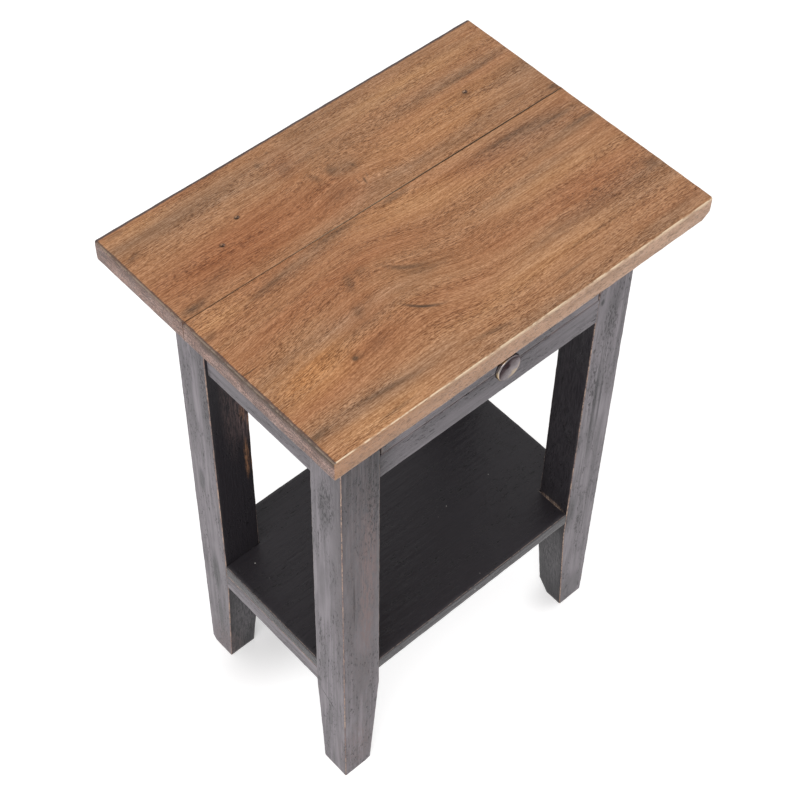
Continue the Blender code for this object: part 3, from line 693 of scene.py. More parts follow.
def aged_brass(name):
    """Tarnished brass, rubbed bright where the wear attribute is high; on the knob that attribute also holds
    painted highlights and painted shade.
    """
    tree = start_finish(name, **{"Metallic": 1.0, "Specular Tint": tint("brass_sheen")})
    place = coordinate(tree, "Object")
    tarnish = noise(place, (130.0, 130.0, 130.0), 4.0, 0.6)
    specks = noise(place, (900.0, 900.0, 900.0))
    polish = (tarnish - 0.5) * 0.5 + wear_of(tree)
    metal = ramp(polish, (0.10, "brass_dark"), (0.55, "brass_grey"), (0.90, "brass_bright"))
    metal = mix(fade(specks, 0.60, 0.75, 0.0, 0.6), metal, "brass_speck")
    feed(tree, metal, fade(tarnish, 0.3, 0.7, 0.22, 0.36), bump(specks, 0.00008, 0.5))


def dull_steel(name):
    """Dull steel with a little rust in its hollows."""
    tree = start_finish(name, Metallic=1.0)
    blotches = noise(coordinate(tree, "Object"), (350.0, 350.0, 350.0), 4.0, 0.65)
    metal = mix(fade(blotches, 0.52, 0.72), "steel", "rust")
    feed(tree, metal, fade(blotches, 0.3, 0.7, 0.34, 0.6), bump(blotches, 0.0001, 0.5))


# Figure of the top's boards, in metres: see brown_wood for what each value is
FRONT_SHIFT = (0.31, 0.17, 0.0)
FRONT_SWIRL = ((-0.078, -0.05), 0.19, 0.105, 0.12, 0.022)
FRONT_TINTS = (
    ("wood_pale", (-0.215, 0.022), (0.06, 0.02), 0.9),
    ("wood_pale", (0.02, 0.01), (0.13, 0.032), 0.8, -0.2),
    ("wood_pale", (0.15, -0.05), (0.13, 0.024), 0.5, -0.1),
    ("wood_amber", (-0.19, -0.084), (0.09, 0.036), 1.2, 0.05),
    ("wood_pale", (-0.17, -0.16), (0.09, 0.02), 0.9),
    ("wood_pale", (0.06, -0.125), (0.16, 0.02), 0.55, 0.05),
    ("wood_olive", (-0.11, 0.024), (0.1, 0.014), 0.8, 0.08),
    ("wood_olive", (0.17, 0.01), (0.11, 0.024), 1.0, -0.06),
    ("wood_olive", (0.2, -0.014), (0.08, 0.014), 0.8, -0.03),
    ("wood_olive", (-0.15, -0.14), (0.13, 0.02), 0.8, -0.08),
    ("wood_olive", (0.19, -0.163), (0.09, 0.014), 0.8, 0.05),
    ("wood_orange", (0.165, -0.085), (0.11, 0.04), 0.9, -0.04),
    ("wood_orange", (-0.11, -0.05), (0.06, 0.05), 0.7, 0.3),
    ("wood_orange", (-0.125, -0.095), (0.05, 0.02), 0.9),
    ("wood_orange", (0.04, -0.07), (0.09, 0.03), 0.5, -0.1),
)
FRONT_MARKS = (
    ((-0.1499, -0.0963), (0.0046, 0.004), 0.75, 0.0, 0.7),
    ((-0.146, -0.096), (0.012, 0.008), 0.35),
    ((-0.123, -0.096), (0.026, 0.011), 0.28, 0.2),
    ((-0.095, -0.025), (0.0075, 0.019), 0.48, -0.4),
    ((-0.078, -0.02), (0.011, 0.008), 0.3),
    ((-0.112, -0.056), (0.009, 0.014), 0.34, -0.3),
    ((0.1614, -0.0892), (0.005, 0.0034), 0.4, 0.0, 0.8),
    ((0.225, -0.012), (0.042, 0.005), 0.55),
    ((0.15, 0.017), (0.07, 0.005), 0.45, -0.05),
    ((0.2, 0.007), (0.05, 0.0045), 0.45, -0.05),
    ((0.229, -0.1), (0.013, 0.01), 0.42),
    ((-0.035, -0.154), (0.045, 0.005), 0.42, -0.16),
    ((-0.155, -0.14), (0.07, 0.0055), 0.5, -0.12),
    ((-0.16, -0.163), (0.032, 0.0035), 0.4),
    ((-0.23, -0.14), (0.024, 0.007), 0.6, 0.1),
    ((-0.065, 0.031), (0.042, 0.006), 0.48),
    ((0.01, 0.03), (0.032, 0.006), 0.52),
    ((-0.15, 0.021), (0.05, 0.005), 0.34, 0.15),
    ((-0.232, 0.008), (0.016, 0.009), 0.42),
    ((0.07, -0.148), (0.05, 0.003), 0.3, 0.03),
    ((0.125, -0.128), (0.05, 0.003), 0.28),
)
FRONT_ARCS = (
    ((-0.0147, -0.0034), 0.0502, 0.005, (-0.04, -0.043), (0.034, 0.032), 0.62),
    ((-0.01, -0.002), 0.06, 0.009, (-0.03, -0.054), (0.048, 0.028), 0.35),
    ((-0.0266, -0.0452), 0.0583, 0.003, (-0.063, -0.09), (0.03, 0.03), 0.95),
)
BACK_SHIFT = (1.73, 0.62, 0.4)
BACK_SWIRL = ((-0.005, 0.085), 0.08, 0.08, 0.06, 0.008)
BACK_TINTS = (
    ("wood_orange", (-0.13, 0.072), (0.19, 0.05), 1.2, 0.03),
    ("wood_orange", (-0.03, 0.066), (0.06, 0.04), 0.9),
    ("wood_orange", (-0.045, 0.13), (0.03, 0.04), 0.6, -0.3),
    ("wood_olive", (-0.15, 0.145), (0.13, 0.03), 0.7, 0.04),
    ("wood_olive", (0.17, 0.116), (0.13, 0.012), 0.9, -0.03),
    ("wood_olive", (0.1, 0.164), (0.2, 0.012), 0.5),
    ("wood_olive", (0.0, 0.092), (0.026, 0.02), 0.8),
    ("wood_amber", (0.12, 0.078), (0.14, 0.034), 0.8),
    ("wood_pale", (0.12, 0.142), (0.14, 0.018), 0.8),
    ("wood_pale", (-0.2, 0.16), (0.06, 0.014), 0.5),
)
BACK_MARKS = (
    ((-0.1208, 0.1073), (0.0044, 0.0034), 0.95, 0.0, 0.6),
    ((-0.1533, 0.0881), (0.0042, 0.0034), 0.95, 0.0, 0.6),
    ((0.1605, 0.0925), (0.0042, 0.0036), 0.95, 0.0, 0.6),
    ((0.158, 0.089), (0.011, 0.007), 0.3),
    ((-0.013, 0.096), (0.01, 0.011), 0.52),
    ((-0.031, 0.096), (0.006, 0.012), 0.36, 0.3),
    ((-0.045, 0.128), (0.013, 0.018), 0.3, -0.4),
    ((-0.028, 0.068), (0.03, 0.016), 0.3, 0.2),
    ((0.003, 0.065), (0.0022, 0.0085), 0.7, -0.3),
    ((-0.003, 0.069), (0.0016, 0.006), 0.5, -0.1),
    ((0.009, 0.069), (0.0016, 0.006), 0.45, -0.5),
    ((0.008, 0.088), (0.003, 0.007), 0.45, 0.2),
    ((-0.0626, 0.148), (0.006, 0.005), 0.45),
    ((-0.045, 0.156), (0.004, 0.003), 0.4),
    ((0.18, 0.111), (0.07, 0.0045), 0.36),
    ((-0.221, 0.044), (0.022, 0.008), 0.68),
    ((0.234, 0.04), (0.013, 0.007), 0.6),
    ((-0.19, 0.056), (0.042, 0.012), 0.26, 0.3),
    ((-0.22, 0.164), (0.02, 0.005), 0.35),
    ((-0.225, 0.13), (0.018, 0.005), 0.35, 0.2),
)
BACK_SPLITS = (
    ((0.0, 0.0352), (1.2, 0.001), 0.55, -0.0079, 0.8),
    ((0.13, 0.0342), (0.22, 0.0011), 1.0, -0.0079, 0.7),
)
FRONT_SPLITS = (*BACK_SPLITS, ((-0.232, -0.0467), (0.015, 0.0009), 0.75, 0.0, 0.8))

# The back board's first three marks are round its old nail holes
NAIL_HOLES = tuple(mark[0] for mark in BACK_MARKS[:3])

# How far the joint of the top lies off its CAD place, by end (-1 left, 1 right)
JOINT_SLANT = {-1: 0.0021, 1: -0.0017}

# Dark lines along the arrises of the top: see brown_wood
FRONT_LINES = ((X, -0.239, 0.0026, 0.8),)
BACK_LINES = ((Y, 0.1725, 0.005, 0.92), (X, -0.239, 0.0026, 0.75))

# Faces that most of the paint's marks lie on, and how deep a mark reaches behind its face
FRONT_FACE = -0.1265
LEFT_FACE = -0.195
SKIN = 0.03


def on_front(x, z, width, height):
    """Centre and size of a zone on the front faces."""
    return (x, FRONT_FACE, z), (width, SKIN, height)


def on_left(y, z, width, height):
    """Centre and size of a zone on the left faces."""
    return (LEFT_FACE, y, z), (SKIN, width, height)


# Gaps in the painted sheen, where the paint stays dark; those high up under the top's overhang are painted
# shade: centre, size, depth and, where it isn't 0, turn about X
SHEEN_GAPS = (
    (*on_front(-0.17, 0.56, 0.06, 0.52), 0.66),
    (*on_front(-0.17, 0.62, 0.06, 0.12), 0.45),
    (*on_front(-0.153, 0.56, 0.014, 0.12), 0.6),
    (*on_front(-0.18, 0.36, 0.0022, 0.06), 0.9),
    (*on_front(-0.148, 0.13, 0.006, 0.008), 0.9),
    (*on_front(-0.17, 0.2, 0.014, 0.06), 0.45),
    (*on_front(0.169, 0.545, 0.016, 0.06), 0.4),
    (*on_front(0.1525, 0.5765, 0.004, 0.007), 1.0),
    (*on_front(0.0, 0.567, 0.22, 0.06), 0.42),
    ((-0.19, 0.0, 0.6), (0.03, 0.12, 0.1), 0.36),
    (*on_front(0.164, 0.39, 0.004, 0.12), 1.0),
    (*on_front(0.172, 0.4, 0.0025, 0.07), 0.8),
    (*on_front(0.18, 0.3, 0.005, 0.1), 0.45),
    (*on_front(0.15, 0.21, 0.013, 0.045), 0.8),
    (*on_front(0.17, 0.025, 0.03, 0.05), 0.55),
    (*on_left(0.098, 0.175, 0.0085, 0.06), 1.0),
    (*on_left(0.106, 0.35, 0.007, 0.03), 0.75),
    (*on_left(0.086, 0.53, 0.012, 0.16), 0.5),
    (*on_left(0.099, 0.07, 0.007, 0.07), 0.6),
    (*on_left(-0.104, 0.64, 0.06, 0.4), 0.1),
    (*on_left(-0.095, 0.38, 0.008, 0.06), 0.4),
    (*on_left(-0.1, 0.52, 0.01, 0.07), 0.35),
    (*on_left(-0.0995, 0.148, 0.024, 0.0014), 0.95, 0.68),
    (*on_left(-0.085, 0.175, 0.005, 0.007), 0.8),
)

# Zones where the paint is thick with pits: centre and size
PITTED_ZONES = (
    on_front(0.17, 0.53, 0.016, 0.06),
    on_front(0.158, 0.43, 0.01, 0.07),
    on_front(-0.155, 0.52, 0.012, 0.09),
    on_left(-0.105, 0.53, 0.018, 0.06),
    on_left(0.084, 0.52, 0.008, 0.1),
)

# Zones where the paint is thin, rubbed or gone, with patches of painted sheen and near-black marks of painted
# shade at the drawer's gaps: colour, centre, size and depth
PAINT_PATCHES = (
    ("paint_brown", *on_front(-0.164, 0.33, 0.012, 0.12), 0.75),
    ("paint_brown", *on_front(-0.16, 0.42, 0.015, 0.15), 0.7),
    ("paint_brown", (-0.152, 0.078, 0.47), (0.014, 0.006, 0.08), 0.8),
    ("paint_brown", (-0.168, 0.078, 0.5), (0.016, 0.006, 0.13), 0.35),
    ("paint_bare", (0.145, -0.102, 0.2105), (0.0016, 0.027, 0.0042), 0.85),
    ("paint_brown", (0.083, FRONT_FACE, 0.5853), (0.03, 0.005, 0.0016), 1.0),
    # Painted shade: near-black marks along the drawer's lower gap and at its lower right corner
    ("paint_pits_and_shade", (0.048, FRONT_FACE, 0.5853), (0.033, 0.005, 0.002), 1.0),
    ("paint_pits_and_shade", (0.1445, FRONT_FACE, 0.593), (0.0032, 0.02, 0.0045), 1.0),
    ("paint_brown", (0.1485, FRONT_FACE, 0.594), (0.0026, 0.02, 0.003), 1.0),
    ("paint_brown", *on_front(-0.178, 0.05, 0.03, 0.08), 0.4),
    ("paint_brown", *on_front(-0.17, 0.35, 0.04, 0.4), 0.25),
    ("paint_brown", *on_left(0.098, 0.025, 0.03, 0.05), 0.45),
    # Patches of painted sheen low on two legs and on the front right leg's inner face
    ("paint_sheen", (0.148, -0.108, 0.08), (0.012, 0.03, 0.1), 0.2),
    ("paint_sheen", (-0.17, 0.08, 0.08), (0.03, 0.012, 0.1), 0.26),
    ("paint_sheen", (0.145, -0.105, 0.45), (0.006, 0.05, 0.35), 0.06),
    ("paint_chip", (-0.1545, 0.078, 0.461), (0.005, 0.008, 0.022), 0.65),
    ("paint_chip", (-0.1531, 0.078, 0.3815), (0.0045, 0.008, 0.045), 0.7),
    ("paint_chip", (-0.146, 0.078, 0.455), (0.004, 0.008, 0.045), 1.0),
    ("paint_chip", (-0.146, 0.078, 0.365), (0.003, 0.008, 0.025), 0.8),
)

# Rounding of the top's outer corners, by side (-1 front, 1 back) and end (-1 left, 1 right)
TOP_CORNERS = {(-1, -1): 0.002, (-1, 1): 0.004, (1, -1): 0.003, (1, 1): 0.003}

# Chip off the right end of the front board: a place on it and the way it faces
TOP_CHIP = ((0.2365, -0.169, 0.683), (0.5, -0.5, -0.7))

# Chips off the feet: a place on each chip and the way it faces
FOOT_CHIPS = {
    ("front", "right"): ((0.163, -0.095, 0.006), (-0.6, 0.6, -0.4)),
    ("back", "left"): ((-0.193, 0.1215, 0.005), (-0.6, 0.6, -0.5)),
    ("front", "left"): ((-0.161, -0.125, 0.0015), (0.3, -0.4, -0.9)),
}

# Places on the floor where the feet's shade is deepest, painted in by lowering the floor's glow there:
# centre, size and depth
FOOT_SHADES = (
    ((-0.14, 0.07), (0.13, 0.09), 0.37),
    ((0.16, -0.11), (0.05, 0.04), 0.22),
    ((-0.195, -0.105), (0.03, 0.035), 0.06),
)

# How deep the knob's front is and how wide the lip round its dish
KNOB_FRONT = 0.003
KNOB_LIP = 0.0015

# Painted shading of the knob: ways (right, up) in which the dish and the lip are painted brighter for the
# light and reflections that fall on them, and the polish that is left on the lip's other sides, which stand
# in painted shade
DISH_SHADING = Vector((0.252, -0.36))
LIP_SHADING = Vector((-0.48, -0.36))
LIP_SHADED_SHARE = 0.4

# Painted glint on the lip: the way (right, up) it lies, its polish and how narrow it is
LIP_GLINT = Vector((-0.44, 0.9))
GLINT_POLISH = 0.6
GLINT_FOCUS = 24


# Operators

class TABLE_OT_finishes(bpy.types.Operator):
    """Make the materials and the textures that wear the pieces"""
    bl_idname = "telephone_table.finishes"
    bl_label = "Finishes"

    def execute(self, context):
        sizes = context.scene.table_sizes
        wear_texture("planing", sizes.planing_patch)
        wear_texture("dents", sizes.dent_patch)
        wear_texture("knocks", sizes.knock_patch)
        brown_wood("brown_wood_front", FRONT_SHIFT, FRONT_SWIRL, FRONT_TINTS,
                   FRONT_MARKS, FRONT_ARCS, FRONT_LINES, FRONT_SPLITS)
        brown_wood("brown_wood_back", BACK_SHIFT, BACK_SWIRL, BACK_TINTS,
                   BACK_MARKS, (), BACK_LINES, BACK_SPLITS)
        for axis, letter in enumerate("xyz"):
            black_paint(f"black_paint_{letter}", axis, edges=0.2 if axis == X else 1.0)
        black_paint("black_paint_shelf", X, outer_sheen=0.05, edges=0.5, ior=SHELF_IOR, dust=0.14)
        bare_wood("bare_wood_x", X)
        bare_wood("bare_wood_y", Y)
        aged_brass("worn_brass")
        dull_steel("dull_steel")
        return {"FINISHED"}


class TABLE_OT_top_boards(bpy.types.Operator):
    """Model the two boards of the top, with rounded and worn edges"""
    bl_idname = "telephone_table.top_boards"
    bl_label = "Top boards"

    def execute(self, context):
        self.add_board("front_plank", "top_front_board", -1, "brown_wood_front")
        self.add_board("back_plank", "top_back_board", 1, "brown_wood_back")
        return {"FINISHED"}

    def add_board(self, name, cad_node, side, material):
        """One board. Side is -1 where its outer edge is the front one and 1 where it is the back one."""
        sizes = bpy.context.scene.table_sizes
        low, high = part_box(cad_node)
        outer, joint = (low.y, high.y) if side < 0 else (high.y, low.y)
        board = add_block(name, low, high)
        for end, slant in JOINT_SLANT.items():
            pick(board, "VERT", lambda v: v.co.x * end > 0.0 and abs(v.co.y - joint) < TOUCH)
            bpy.ops.transform.translate(value=(0.0, slant, 0.0))
        for end in (-1, 1):
            pick(board, "EDGE", lambda e: runs_along(e, Z) and middle_of(e).x * end > 0.0
                 and abs(middle_of(e).y - outer) < TOUCH)
            bevel(TOP_CORNERS[side, end], 4)
        for axis in (X, Y):
            divide(board, axis, sizes.mesh_step, lambda e: e.calc_length() > 0.02)
        divide(board, Z, sizes.mesh_step)
        nearest = max(abs(slant) for slant in JOINT_SLANT.values()) + TOUCH

        def at_joint(edge):
            return abs(middle_of(edge).y - joint) < nearest and runs_along(edge, X)

        round_arrises(board, sizes.top_arris, 3, lambda e: not at_joint(e) and not runs_along(e, Z))
        pick(board, "EDGE", lambda e: at_joint(e) and middle_of(e).z > high.z - TOUCH)
        bevel(sizes.joint_arris, 1)
        if side < 0:
            split_off(board, *TOP_CHIP)
        close_mesh()
        weather(board)
        for x, y in NAIL_HOLES:
            if low.y < y < high.y:
                bpy.ops.object.select_all(action="DESELECT")
                bpy.ops.mesh.primitive_uv_sphere_add(segments=16, ring_count=8, radius=sizes.nail_hole,
                                                     location=(x, y, high.z - sizes.nail_sink))
                carve(board, bpy.context.active_object)
        settle(board, "table", "brown_wood", material, cad_node)


class TABLE_OT_legs(bpy.types.Operator):
    """Model the two front legs, which taper, and copy one of them to the back corners"""
    bl_idname = "telephone_table.legs"
    bl_label = "Legs"

    def execute(self, context):
        sizes = context.scene.table_sizes
        first = self.add_leg("front_right_leg", 1.0)
        turn_line = (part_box("leg_front_left")[0].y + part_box("leg_back_right")[1].y) / 2
        legs = {("front", "right"): first, ("front", "left"): self.add_leg("front_left_leg", sizes.stout_leg)}
        for side in ("left", "right"):
            legs["back", side] = add_copy(f"back_{side}_leg", first)
        for (end, side), leg in legs.items():
            open_mesh(leg)
            pick_all()
            flips = (-1 if side == "right" else 1, -1 if end == "back" else 1, 1)
            bpy.ops.transform.resize(value=flips, center_override=(0.0, turn_line, 0.0))
            bpy.ops.mesh.normals_make_consistent(inside=False)
            close_mesh()
        for corner, chip in FOOT_CHIPS.items():
            open_mesh(legs[corner])
            split_off(legs[corner], *chip)
            close_mesh()
        for (end, side), leg in legs.items():
            weather(leg)
            settle(leg, "table", "black_paint", "black_paint_z", f"leg_{end}_{side}")
        return {"FINISHED"}

    def add_leg(self, name, stoutness):
        """A leg in the front left corner, thickened by its stoutness where its taper starts and below."""
        sizes = bpy.context.scene.table_sizes
        low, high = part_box("leg_front_left")
        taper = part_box("side_stretcher_left")[0].z
        leg = add_block(name, low, high)
        pick_all()
        bpy.ops.mesh.bisect(plane_co=(0.0, 0.0, taper), plane_no=(0.0, 0.0, 1.0))
        pick(leg, "VERT", lambda v: v.co.z < TOUCH and v.co.x > high.x - TOUCH)
        bpy.ops.transform.translate(value=(low.x + sizes.foot_width - high.x, 0.0, 0.0))
        pick(leg, "VERT", lambda v: v.co.z < TOUCH and v.co.y > high.y - TOUCH)
        bpy.ops.transform.translate(value=(0.0, low.y + sizes.foot_depth - high.y, 0.0))
        pick(leg, "VERT", lambda v: v.co.z < taper + TOUCH)
        bpy.ops.transform.resize(value=(stoutness, stoutness, 1.0), center_override=(low + high) / 2)
        divide(leg, Z, sizes.mesh_step, lambda e: middle_of(e).z > taper)
        divide(leg, Z, sizes.mesh_step, lambda e: middle_of(e).z < taper)
        for axis in (X, Y):
            divide(leg, axis, sizes.mesh_step)
        round_arrises(leg, sizes.leg_arris, 3, lambda e: middle_of(e).z < high.z - TOUCH)
        close_mesh()
        return leg


class TABLE_OT_frame_bars(bpy.types.Operator):
    """Model the aprons, the drawer rails and the shelf's stretchers"""
    bl_idname = "telephone_table.frame_bars"
    bl_label = "Frame bars"

    def execute(self, context):
        sizes = context.scene.table_sizes
        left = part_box("leg_front_left")
        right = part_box("leg_front_right")
        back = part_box("leg_back_left")
        reach = sizes.bar_reach
        for name, cad_node, axis in (
            ("upper_rail", "front_upper_rail", X),
            ("lower_rail", "front_lower_rail", X),
            ("rear_apron", "back_apron", X),
            ("left_apron", "side_apron_left", Y),
            ("right_apron", "side_apron_right", Y),
            ("left_stretcher", "side_stretcher_left", Y),
            ("right_stretcher", "side_stretcher_right", Y),
        ):
            low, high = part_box(cad_node)
            if axis == X:
                low.x, high.x = left[1].x - reach, right[0].x + reach
            else:
                low.y, high.y = left[1].y - reach, back[0].y + reach
            bar = add_block(name, low, high)
            for way in (X, Y, Z):
                divide(bar, way, sizes.mesh_step)
            round_arrises(bar, sizes.bar_arris, 2, lambda e: runs_along(e, axis))
            close_mesh()
            weather(bar)
            settle(bar, "table", "black_paint", f"black_paint_{'xyz'[axis]}", cad_node)
        return {"FINISHED"}


class TABLE_OT_shelf(bpy.types.Operator):
    """Model the shelf, notched round the legs"""
    bl_idname = "telephone_table.shelf"
    bl_label = "Shelf"

    def execute(self, context):
        sizes = context.scene.table_sizes
        low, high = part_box("shelf_board")
        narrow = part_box("leg_front_right")[0].x - sizes.shelf_gap
        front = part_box("leg_front_left")[1].y + sizes.shelf_gap
        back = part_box("leg_back_left")[0].y - sizes.shelf_gap
        shelf = add_block("notched_shelf", (-narrow, low.y, low.z), (narrow, high.y, high.z))
        for y in (front, back):
            pick_all()
            bpy.ops.mesh.bisect(plane_co=(0.0, y, 0.0), plane_no=(0.0, 1.0, 0.0))
        for side in (-1, 1):
            pick(shelf, "FACE", lambda f: f.normal.x * side > ALONG
                 and front < f.calc_center_median().y < back)
            reach = side * (high.x - narrow)
            bpy.ops.mesh.extrude_region_move(TRANSFORM_OT_translate={"value": (reach, 0.0, 0.0)})
        divide(shelf, X, sizes.mesh_step, lambda e: e.calc_length() > 0.1)
        divide(shelf, X, sizes.mesh_step, lambda e: abs(middle_of(e).x) > narrow)
        divide(shelf, Y, sizes.mesh_step, lambda e: middle_of(e).y < front)
        divide(shelf, Y, sizes.mesh_step, lambda e: front < middle_of(e).y < back)
        divide(shelf, Y, sizes.mesh_step, lambda e: middle_of(e).y > back)
        divide(shelf, Z, sizes.mesh_step)

        def on_rim(edge):
            middle = middle_of(edge)
            at_end = abs(abs(middle.x) - high.x) < TOUCH
            at_length = middle.y < low.y + TOUCH or middle.y > high.y - TOUCH
            return not runs_along(edge, Z) and (at_end or at_length)

        round_arrises(shelf, sizes.shelf_arris, 2, on_rim)
        close_mesh()
        weather(shelf)
        settle(shelf, "table", "black_paint", "black_paint_shelf", "shelf_board")
        return {"FINISHED"}


class TABLE_OT_knob(bpy.types.Operator):
    """Turn the knob, from its base to the shallow dish of its face"""
    bl_idname = "telephone_table.knob"
    bl_label = "Knob"

    def execute(self, context):
        sizes = context.scene.table_sizes
        low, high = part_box("drawer_knob")
        centre = Vector(((low.x + high.x) / 2, high.y, (low.z + high.z) / 2))
        rim = (high.x - low.x) / 2
        reach = high.y - low.y
        rings = self.profile(rim, reach)
        bpy.ops.object.select_all(action="DESELECT")
        bpy.ops.mesh.primitive_circle_add(vertices=sizes.knob_sides, radius=rings[0][0], fill_type="NGON",
                                          location=centre, rotation=(math.pi / 2, 0.0, 0.0))
        knob = context.active_object
        knob.name = knob.data.name = "turned_knob"
        bpy.ops.object.transform_apply(location=True, rotation=True, scale=True)
        open_mesh(knob)
        pick_all()
        for (radius, out, _), (next_radius, next_out, _) in zip(rings, rings[1:]):
            bpy.ops.mesh.extrude_region_move(TRANSFORM_OT_translate={"value": (0.0, out - next_out, 0.0)})
            grow = next_radius / radius
            bpy.ops.transform.resize(value=(grow, 1.0, grow),
                                     center_override=(centre.x, centre.y - next_out, centre.z))
        pick_all()
        bpy.ops.mesh.normals_make_consistent(inside=False)
        close_mesh()

        def polish_and_painted_light_at(vertex):
            across, out, up = vertex.co - centre
            radius = math.hypot(across, up)
            polish = min(rings, key=lambda ring: abs(ring[0] - radius) + abs(ring[1] + out))[2]
            side = Vector((across, up)) / rim
            if out > KNOB_FRONT - reach:
                return polish
            # Past the rings' own polish, the dish and the lip are painted lighter one way and in shade the
            # other, and the lip carries a painted glint
            if radius < rim - KNOB_LIP:
                return polish + side.dot(DISH_SHADING)
            polish *= LIP_SHADED_SHARE + max(0.0, side.dot(LIP_SHADING))
            return polish + GLINT_POLISH * max(0.0, side.dot(LIP_GLINT)) ** GLINT_FOCUS

        set_wear(knob, polish_and_painted_light_at)
        settle(knob, "drawer", "aged_brass", "worn_brass", "drawer_knob")
        return {"FINISHED"}

    def profile(self, rim, reach):
        """Rings from the base to the middle of the dish: radius, distance from the drawer and polish. The low
        polish at the back of the lip is painted shade.
        """
        return (
            (0.0090, 0.0000, 0.5), (0.0090, 0.0022, 0.5), (0.0086, 0.0029, 0.5),
            (0.0066, 0.0042, 0.3), (0.0060, 0.0060, 0.3), (0.0063, 0.0090, 0.3),
            (0.0078, 0.0112, 0.4), (0.0105, 0.0130, 0.5), (0.0135, 0.0142, 0.3),
            (rim - 0.0006, reach - 0.0049, 0.1), (rim, reach - 0.0043, 0.1), (rim, reach - 0.0036, 0.2),
            (rim - 0.0002, reach - 0.0030, 0.9), (rim - 0.0002, reach - 0.0018, 1.0),
            (rim - 0.0003, reach - 0.0012, 1.0), (rim - 0.0008, reach - 0.0003, 0.9),
            (rim - 0.0014, reach, 0.5), (rim - 0.0020, reach - 0.0003, 0.35),
            (0.0122, reach - 0.0010, 0.3), (0.0098, reach - 0.0016, 0.3), (0.0070, reach - 0.0021, 0.3),
            (0.0040, reach - 0.0024, 0.25), (0.0011, reach - 0.0026, 0.0), (0.0008, reach - 0.0032, 0.0),
        )


class TABLE_OT_drawer_front(bpy.types.Operator):
    """Model the drawer front"""
    bl_idname = "telephone_table.drawer_front"
    bl_label = "Drawer front"

    def execute(self, context):
        sizes = context.scene.table_sizes
        front = add_copy("painted_drawer_front", frame["nodes"]["drawer_front"])
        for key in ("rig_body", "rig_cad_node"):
            if key in front:
                del front[key]
        front.parent = None
        open_mesh(front)
        pick_all()
        bpy.ops.mesh.remove_doubles(threshold=1e-6)
        bpy.ops.mesh.dissolve_limited(angle_limit=math.radians(1))
        low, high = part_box("drawer_front")
        pick(front, "FACE", lambda f: f.normal.y < -ALONG and f.calc_area() > 0.005)
        bpy.ops.mesh.inset(thickness=sizes.mesh_step)
        close_mesh()
        border = 1.1 * sizes.drawer_arris

        def rubbed_at(vertex):
            x, y, z = vertex.co
            inwards = min(x - low.x, high.x - x, z - low.z, high.z - z)
            return 1.0 if inwards < border and y < low.y + border else 0.0

        set_wear(front, rubbed_at)
        settle(front, "drawer", "black_paint", "black_paint_x", "drawer_front")
        return {"FINISHED"}


class TABLE_OT_inside_pieces(bpy.types.Operator):
    """Finish the bare wood and the steel that the frame already shapes"""
    bl_idname = "telephone_table.inside_pieces"
    bl_label = "Inside pieces"

    def execute(self, context):
        along_x = ("drawer_back", "drawer_bottom", "drawer_stop_left", "drawer_stop_right")
        for part in frame["record"]["subparts"]:
            name, slot = part["node"], part["material_slot"]
            if slot == "bare_wood":
                material = "bare_wood_x" if name in along_x else "bare_wood_y"
            elif slot == "screw_steel":
                material = "dull_steel"
            else:
                continue
            for place in frame["nodes"][name].material_slots:
                place.material = bpy.data.materials[material]
        return {"FINISHED"}


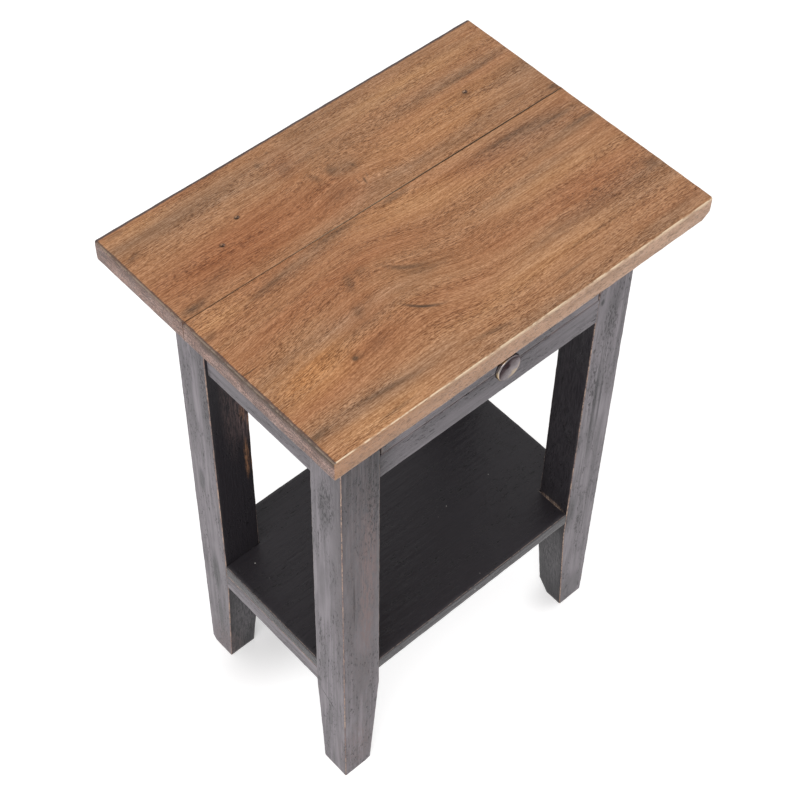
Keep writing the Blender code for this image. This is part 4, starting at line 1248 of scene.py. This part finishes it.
class TABLE_OT_stage(bpy.types.Operator):
    """Set up the floor, the lamps and the camera"""
    bl_idname = "telephone_table.stage"
    bl_label = "Stage"

    def execute(self, context):
        stage = context.scene.table_stage
        self.add_floor(stage.floor_size, stage.floor_glow)
        self.add_sky(stage.sky)
        self.add_lamp("key_lamp", stage.key, stage.key_place, stage.key_size, stage.lamp_aim)
        self.add_lamp("fill_lamp", stage.fill, stage.fill_place, stage.fill_size, stage.lamp_aim)
        camera = bpy.data.cameras.new("camera")
        camera.lens = stage.camera_lens
        camera.sensor_width = stage.sensor_width
        camera.clip_end = stage.view_depth
        eye = bpy.data.objects.new("camera", camera)
        eye.location = stage.camera_place
        eye.rotation_euler = stage.camera_turn
        context.collection.objects.link(eye)
        context.scene.camera = eye
        context.scene.view_settings.view_transform = "Standard"
        return {"FINISHED"}

    def seen(self, tree):
        """1 for the rays that show the background, straight or by reflection."""
        straight = node("LightPath", {}, "Is Camera Ray", tree)
        reflected = straight + straight.other("Is Glossy Ray")
        return calc("ADD", reflected, straight.other("Is Transmission Ray"), clamp=True)

    def add_floor(self, size, glow):
        """Floor that shows white away from the table and keeps its shade, with painted shadows round the
        feet.
        """
        bpy.ops.object.select_all(action="DESELECT")
        bpy.ops.mesh.primitive_plane_add(size=size)
        floor = bpy.context.active_object
        floor.name = "floor"
        material = bpy.data.materials.new("floor")
        material.use_nodes = True
        tree = material.node_tree
        tree.nodes.clear()
        plain = node("BsdfDiffuse", {"Color": tint("floor_plain")}, tree=tree)
        shadowed = node("BsdfDiffuse", {"Color": tint("floor_shown")}, tree=tree)
        place = coordinate(tree, "Object")
        # Painted shadows: the floor's glow is lowered round the feet
        for centre, reach, depth in FOOT_SHADES:
            glow = spot(place, centre, reach) * -depth + glow
        glow = node("Emission", {"Color": WHITE, "Strength": glow})
        white = node("AddShader", {0: shadowed, 1: glow})
        both = node("MixShader", {0: self.seen(tree), 1: plain, 2: white})
        node("OutputMaterial", {"Surface": both})
        floor.data.materials.append(material)

    def add_sky(self, strength):
        """Even light from all round, white behind the table."""
        world = bpy.data.worlds.new("studio")
        world.use_nodes = True
        tree = world.node_tree
        tree.nodes.clear()
        light = node("MapRange", {"Value": self.seen(tree), "To Min": strength, "To Max": 1.0})
        sky = node("Background", {"Color": WHITE, "Strength": light})
        node("OutputWorld", {"Surface": sky})
        bpy.context.scene.world = world

    def add_lamp(self, name, power, place, size, aim):
        """Square lamp that points at its aim."""
        lamp = bpy.data.lights.new(name, "AREA")
        lamp.energy = power
        lamp.size = size
        holder = bpy.data.objects.new(name, lamp)
        holder.location = place
        towards = Vector(aim) - Vector(place)
        holder.rotation_euler = towards.to_track_quat("-Z", "Y").to_euler()
        bpy.context.collection.objects.link(holder)


STEPS = (
    TABLE_OT_finishes,
    TABLE_OT_top_boards,
    TABLE_OT_legs,
    TABLE_OT_frame_bars,
    TABLE_OT_shelf,
    TABLE_OT_drawer_front,
    TABLE_OT_knob,
    TABLE_OT_inside_pieces,
    TABLE_OT_stage,
)


class TABLE_PT_panel(bpy.types.Panel):
    """Lists the table's steps and what can be changed"""
    bl_idname = "TABLE_PT_panel"
    bl_label = "Telephone table"
    bl_space_type = "VIEW_3D"
    bl_region_type = "UI"
    bl_category = "Table"

    def draw(self, context):
        for step in STEPS:
            self.layout.operator(step.bl_idname)
        for group in (context.scene.table_sizes, context.scene.table_colours, context.scene.table_stage):
            box = self.layout.box()
            for name in group.bl_rna.properties.keys():
                if name not in ("rna_type", "name"):
                    box.prop(group, name)


GROUPS = {"table_sizes": TableSizes, "table_colours": TableColours, "table_stage": TableStage}


def register():
    for kind in (*GROUPS.values(), *STEPS, TABLE_PT_panel):
        bpy.utils.register_class(kind)
    for name, kind in GROUPS.items():
        setattr(bpy.types.Scene, name, PointerProperty(type=kind))


def unregister():
    for name in GROUPS:
        delattr(bpy.types.Scene, name)
    for kind in reversed((*GROUPS.values(), *STEPS, TABLE_PT_panel)):
        bpy.utils.unregister_class(kind)


def main():
    register()
    for step in STEPS:
        group, name = step.bl_idname.split(".")
        getattr(getattr(bpy.ops, group), name)()


if __name__ == "__main__":
    main()
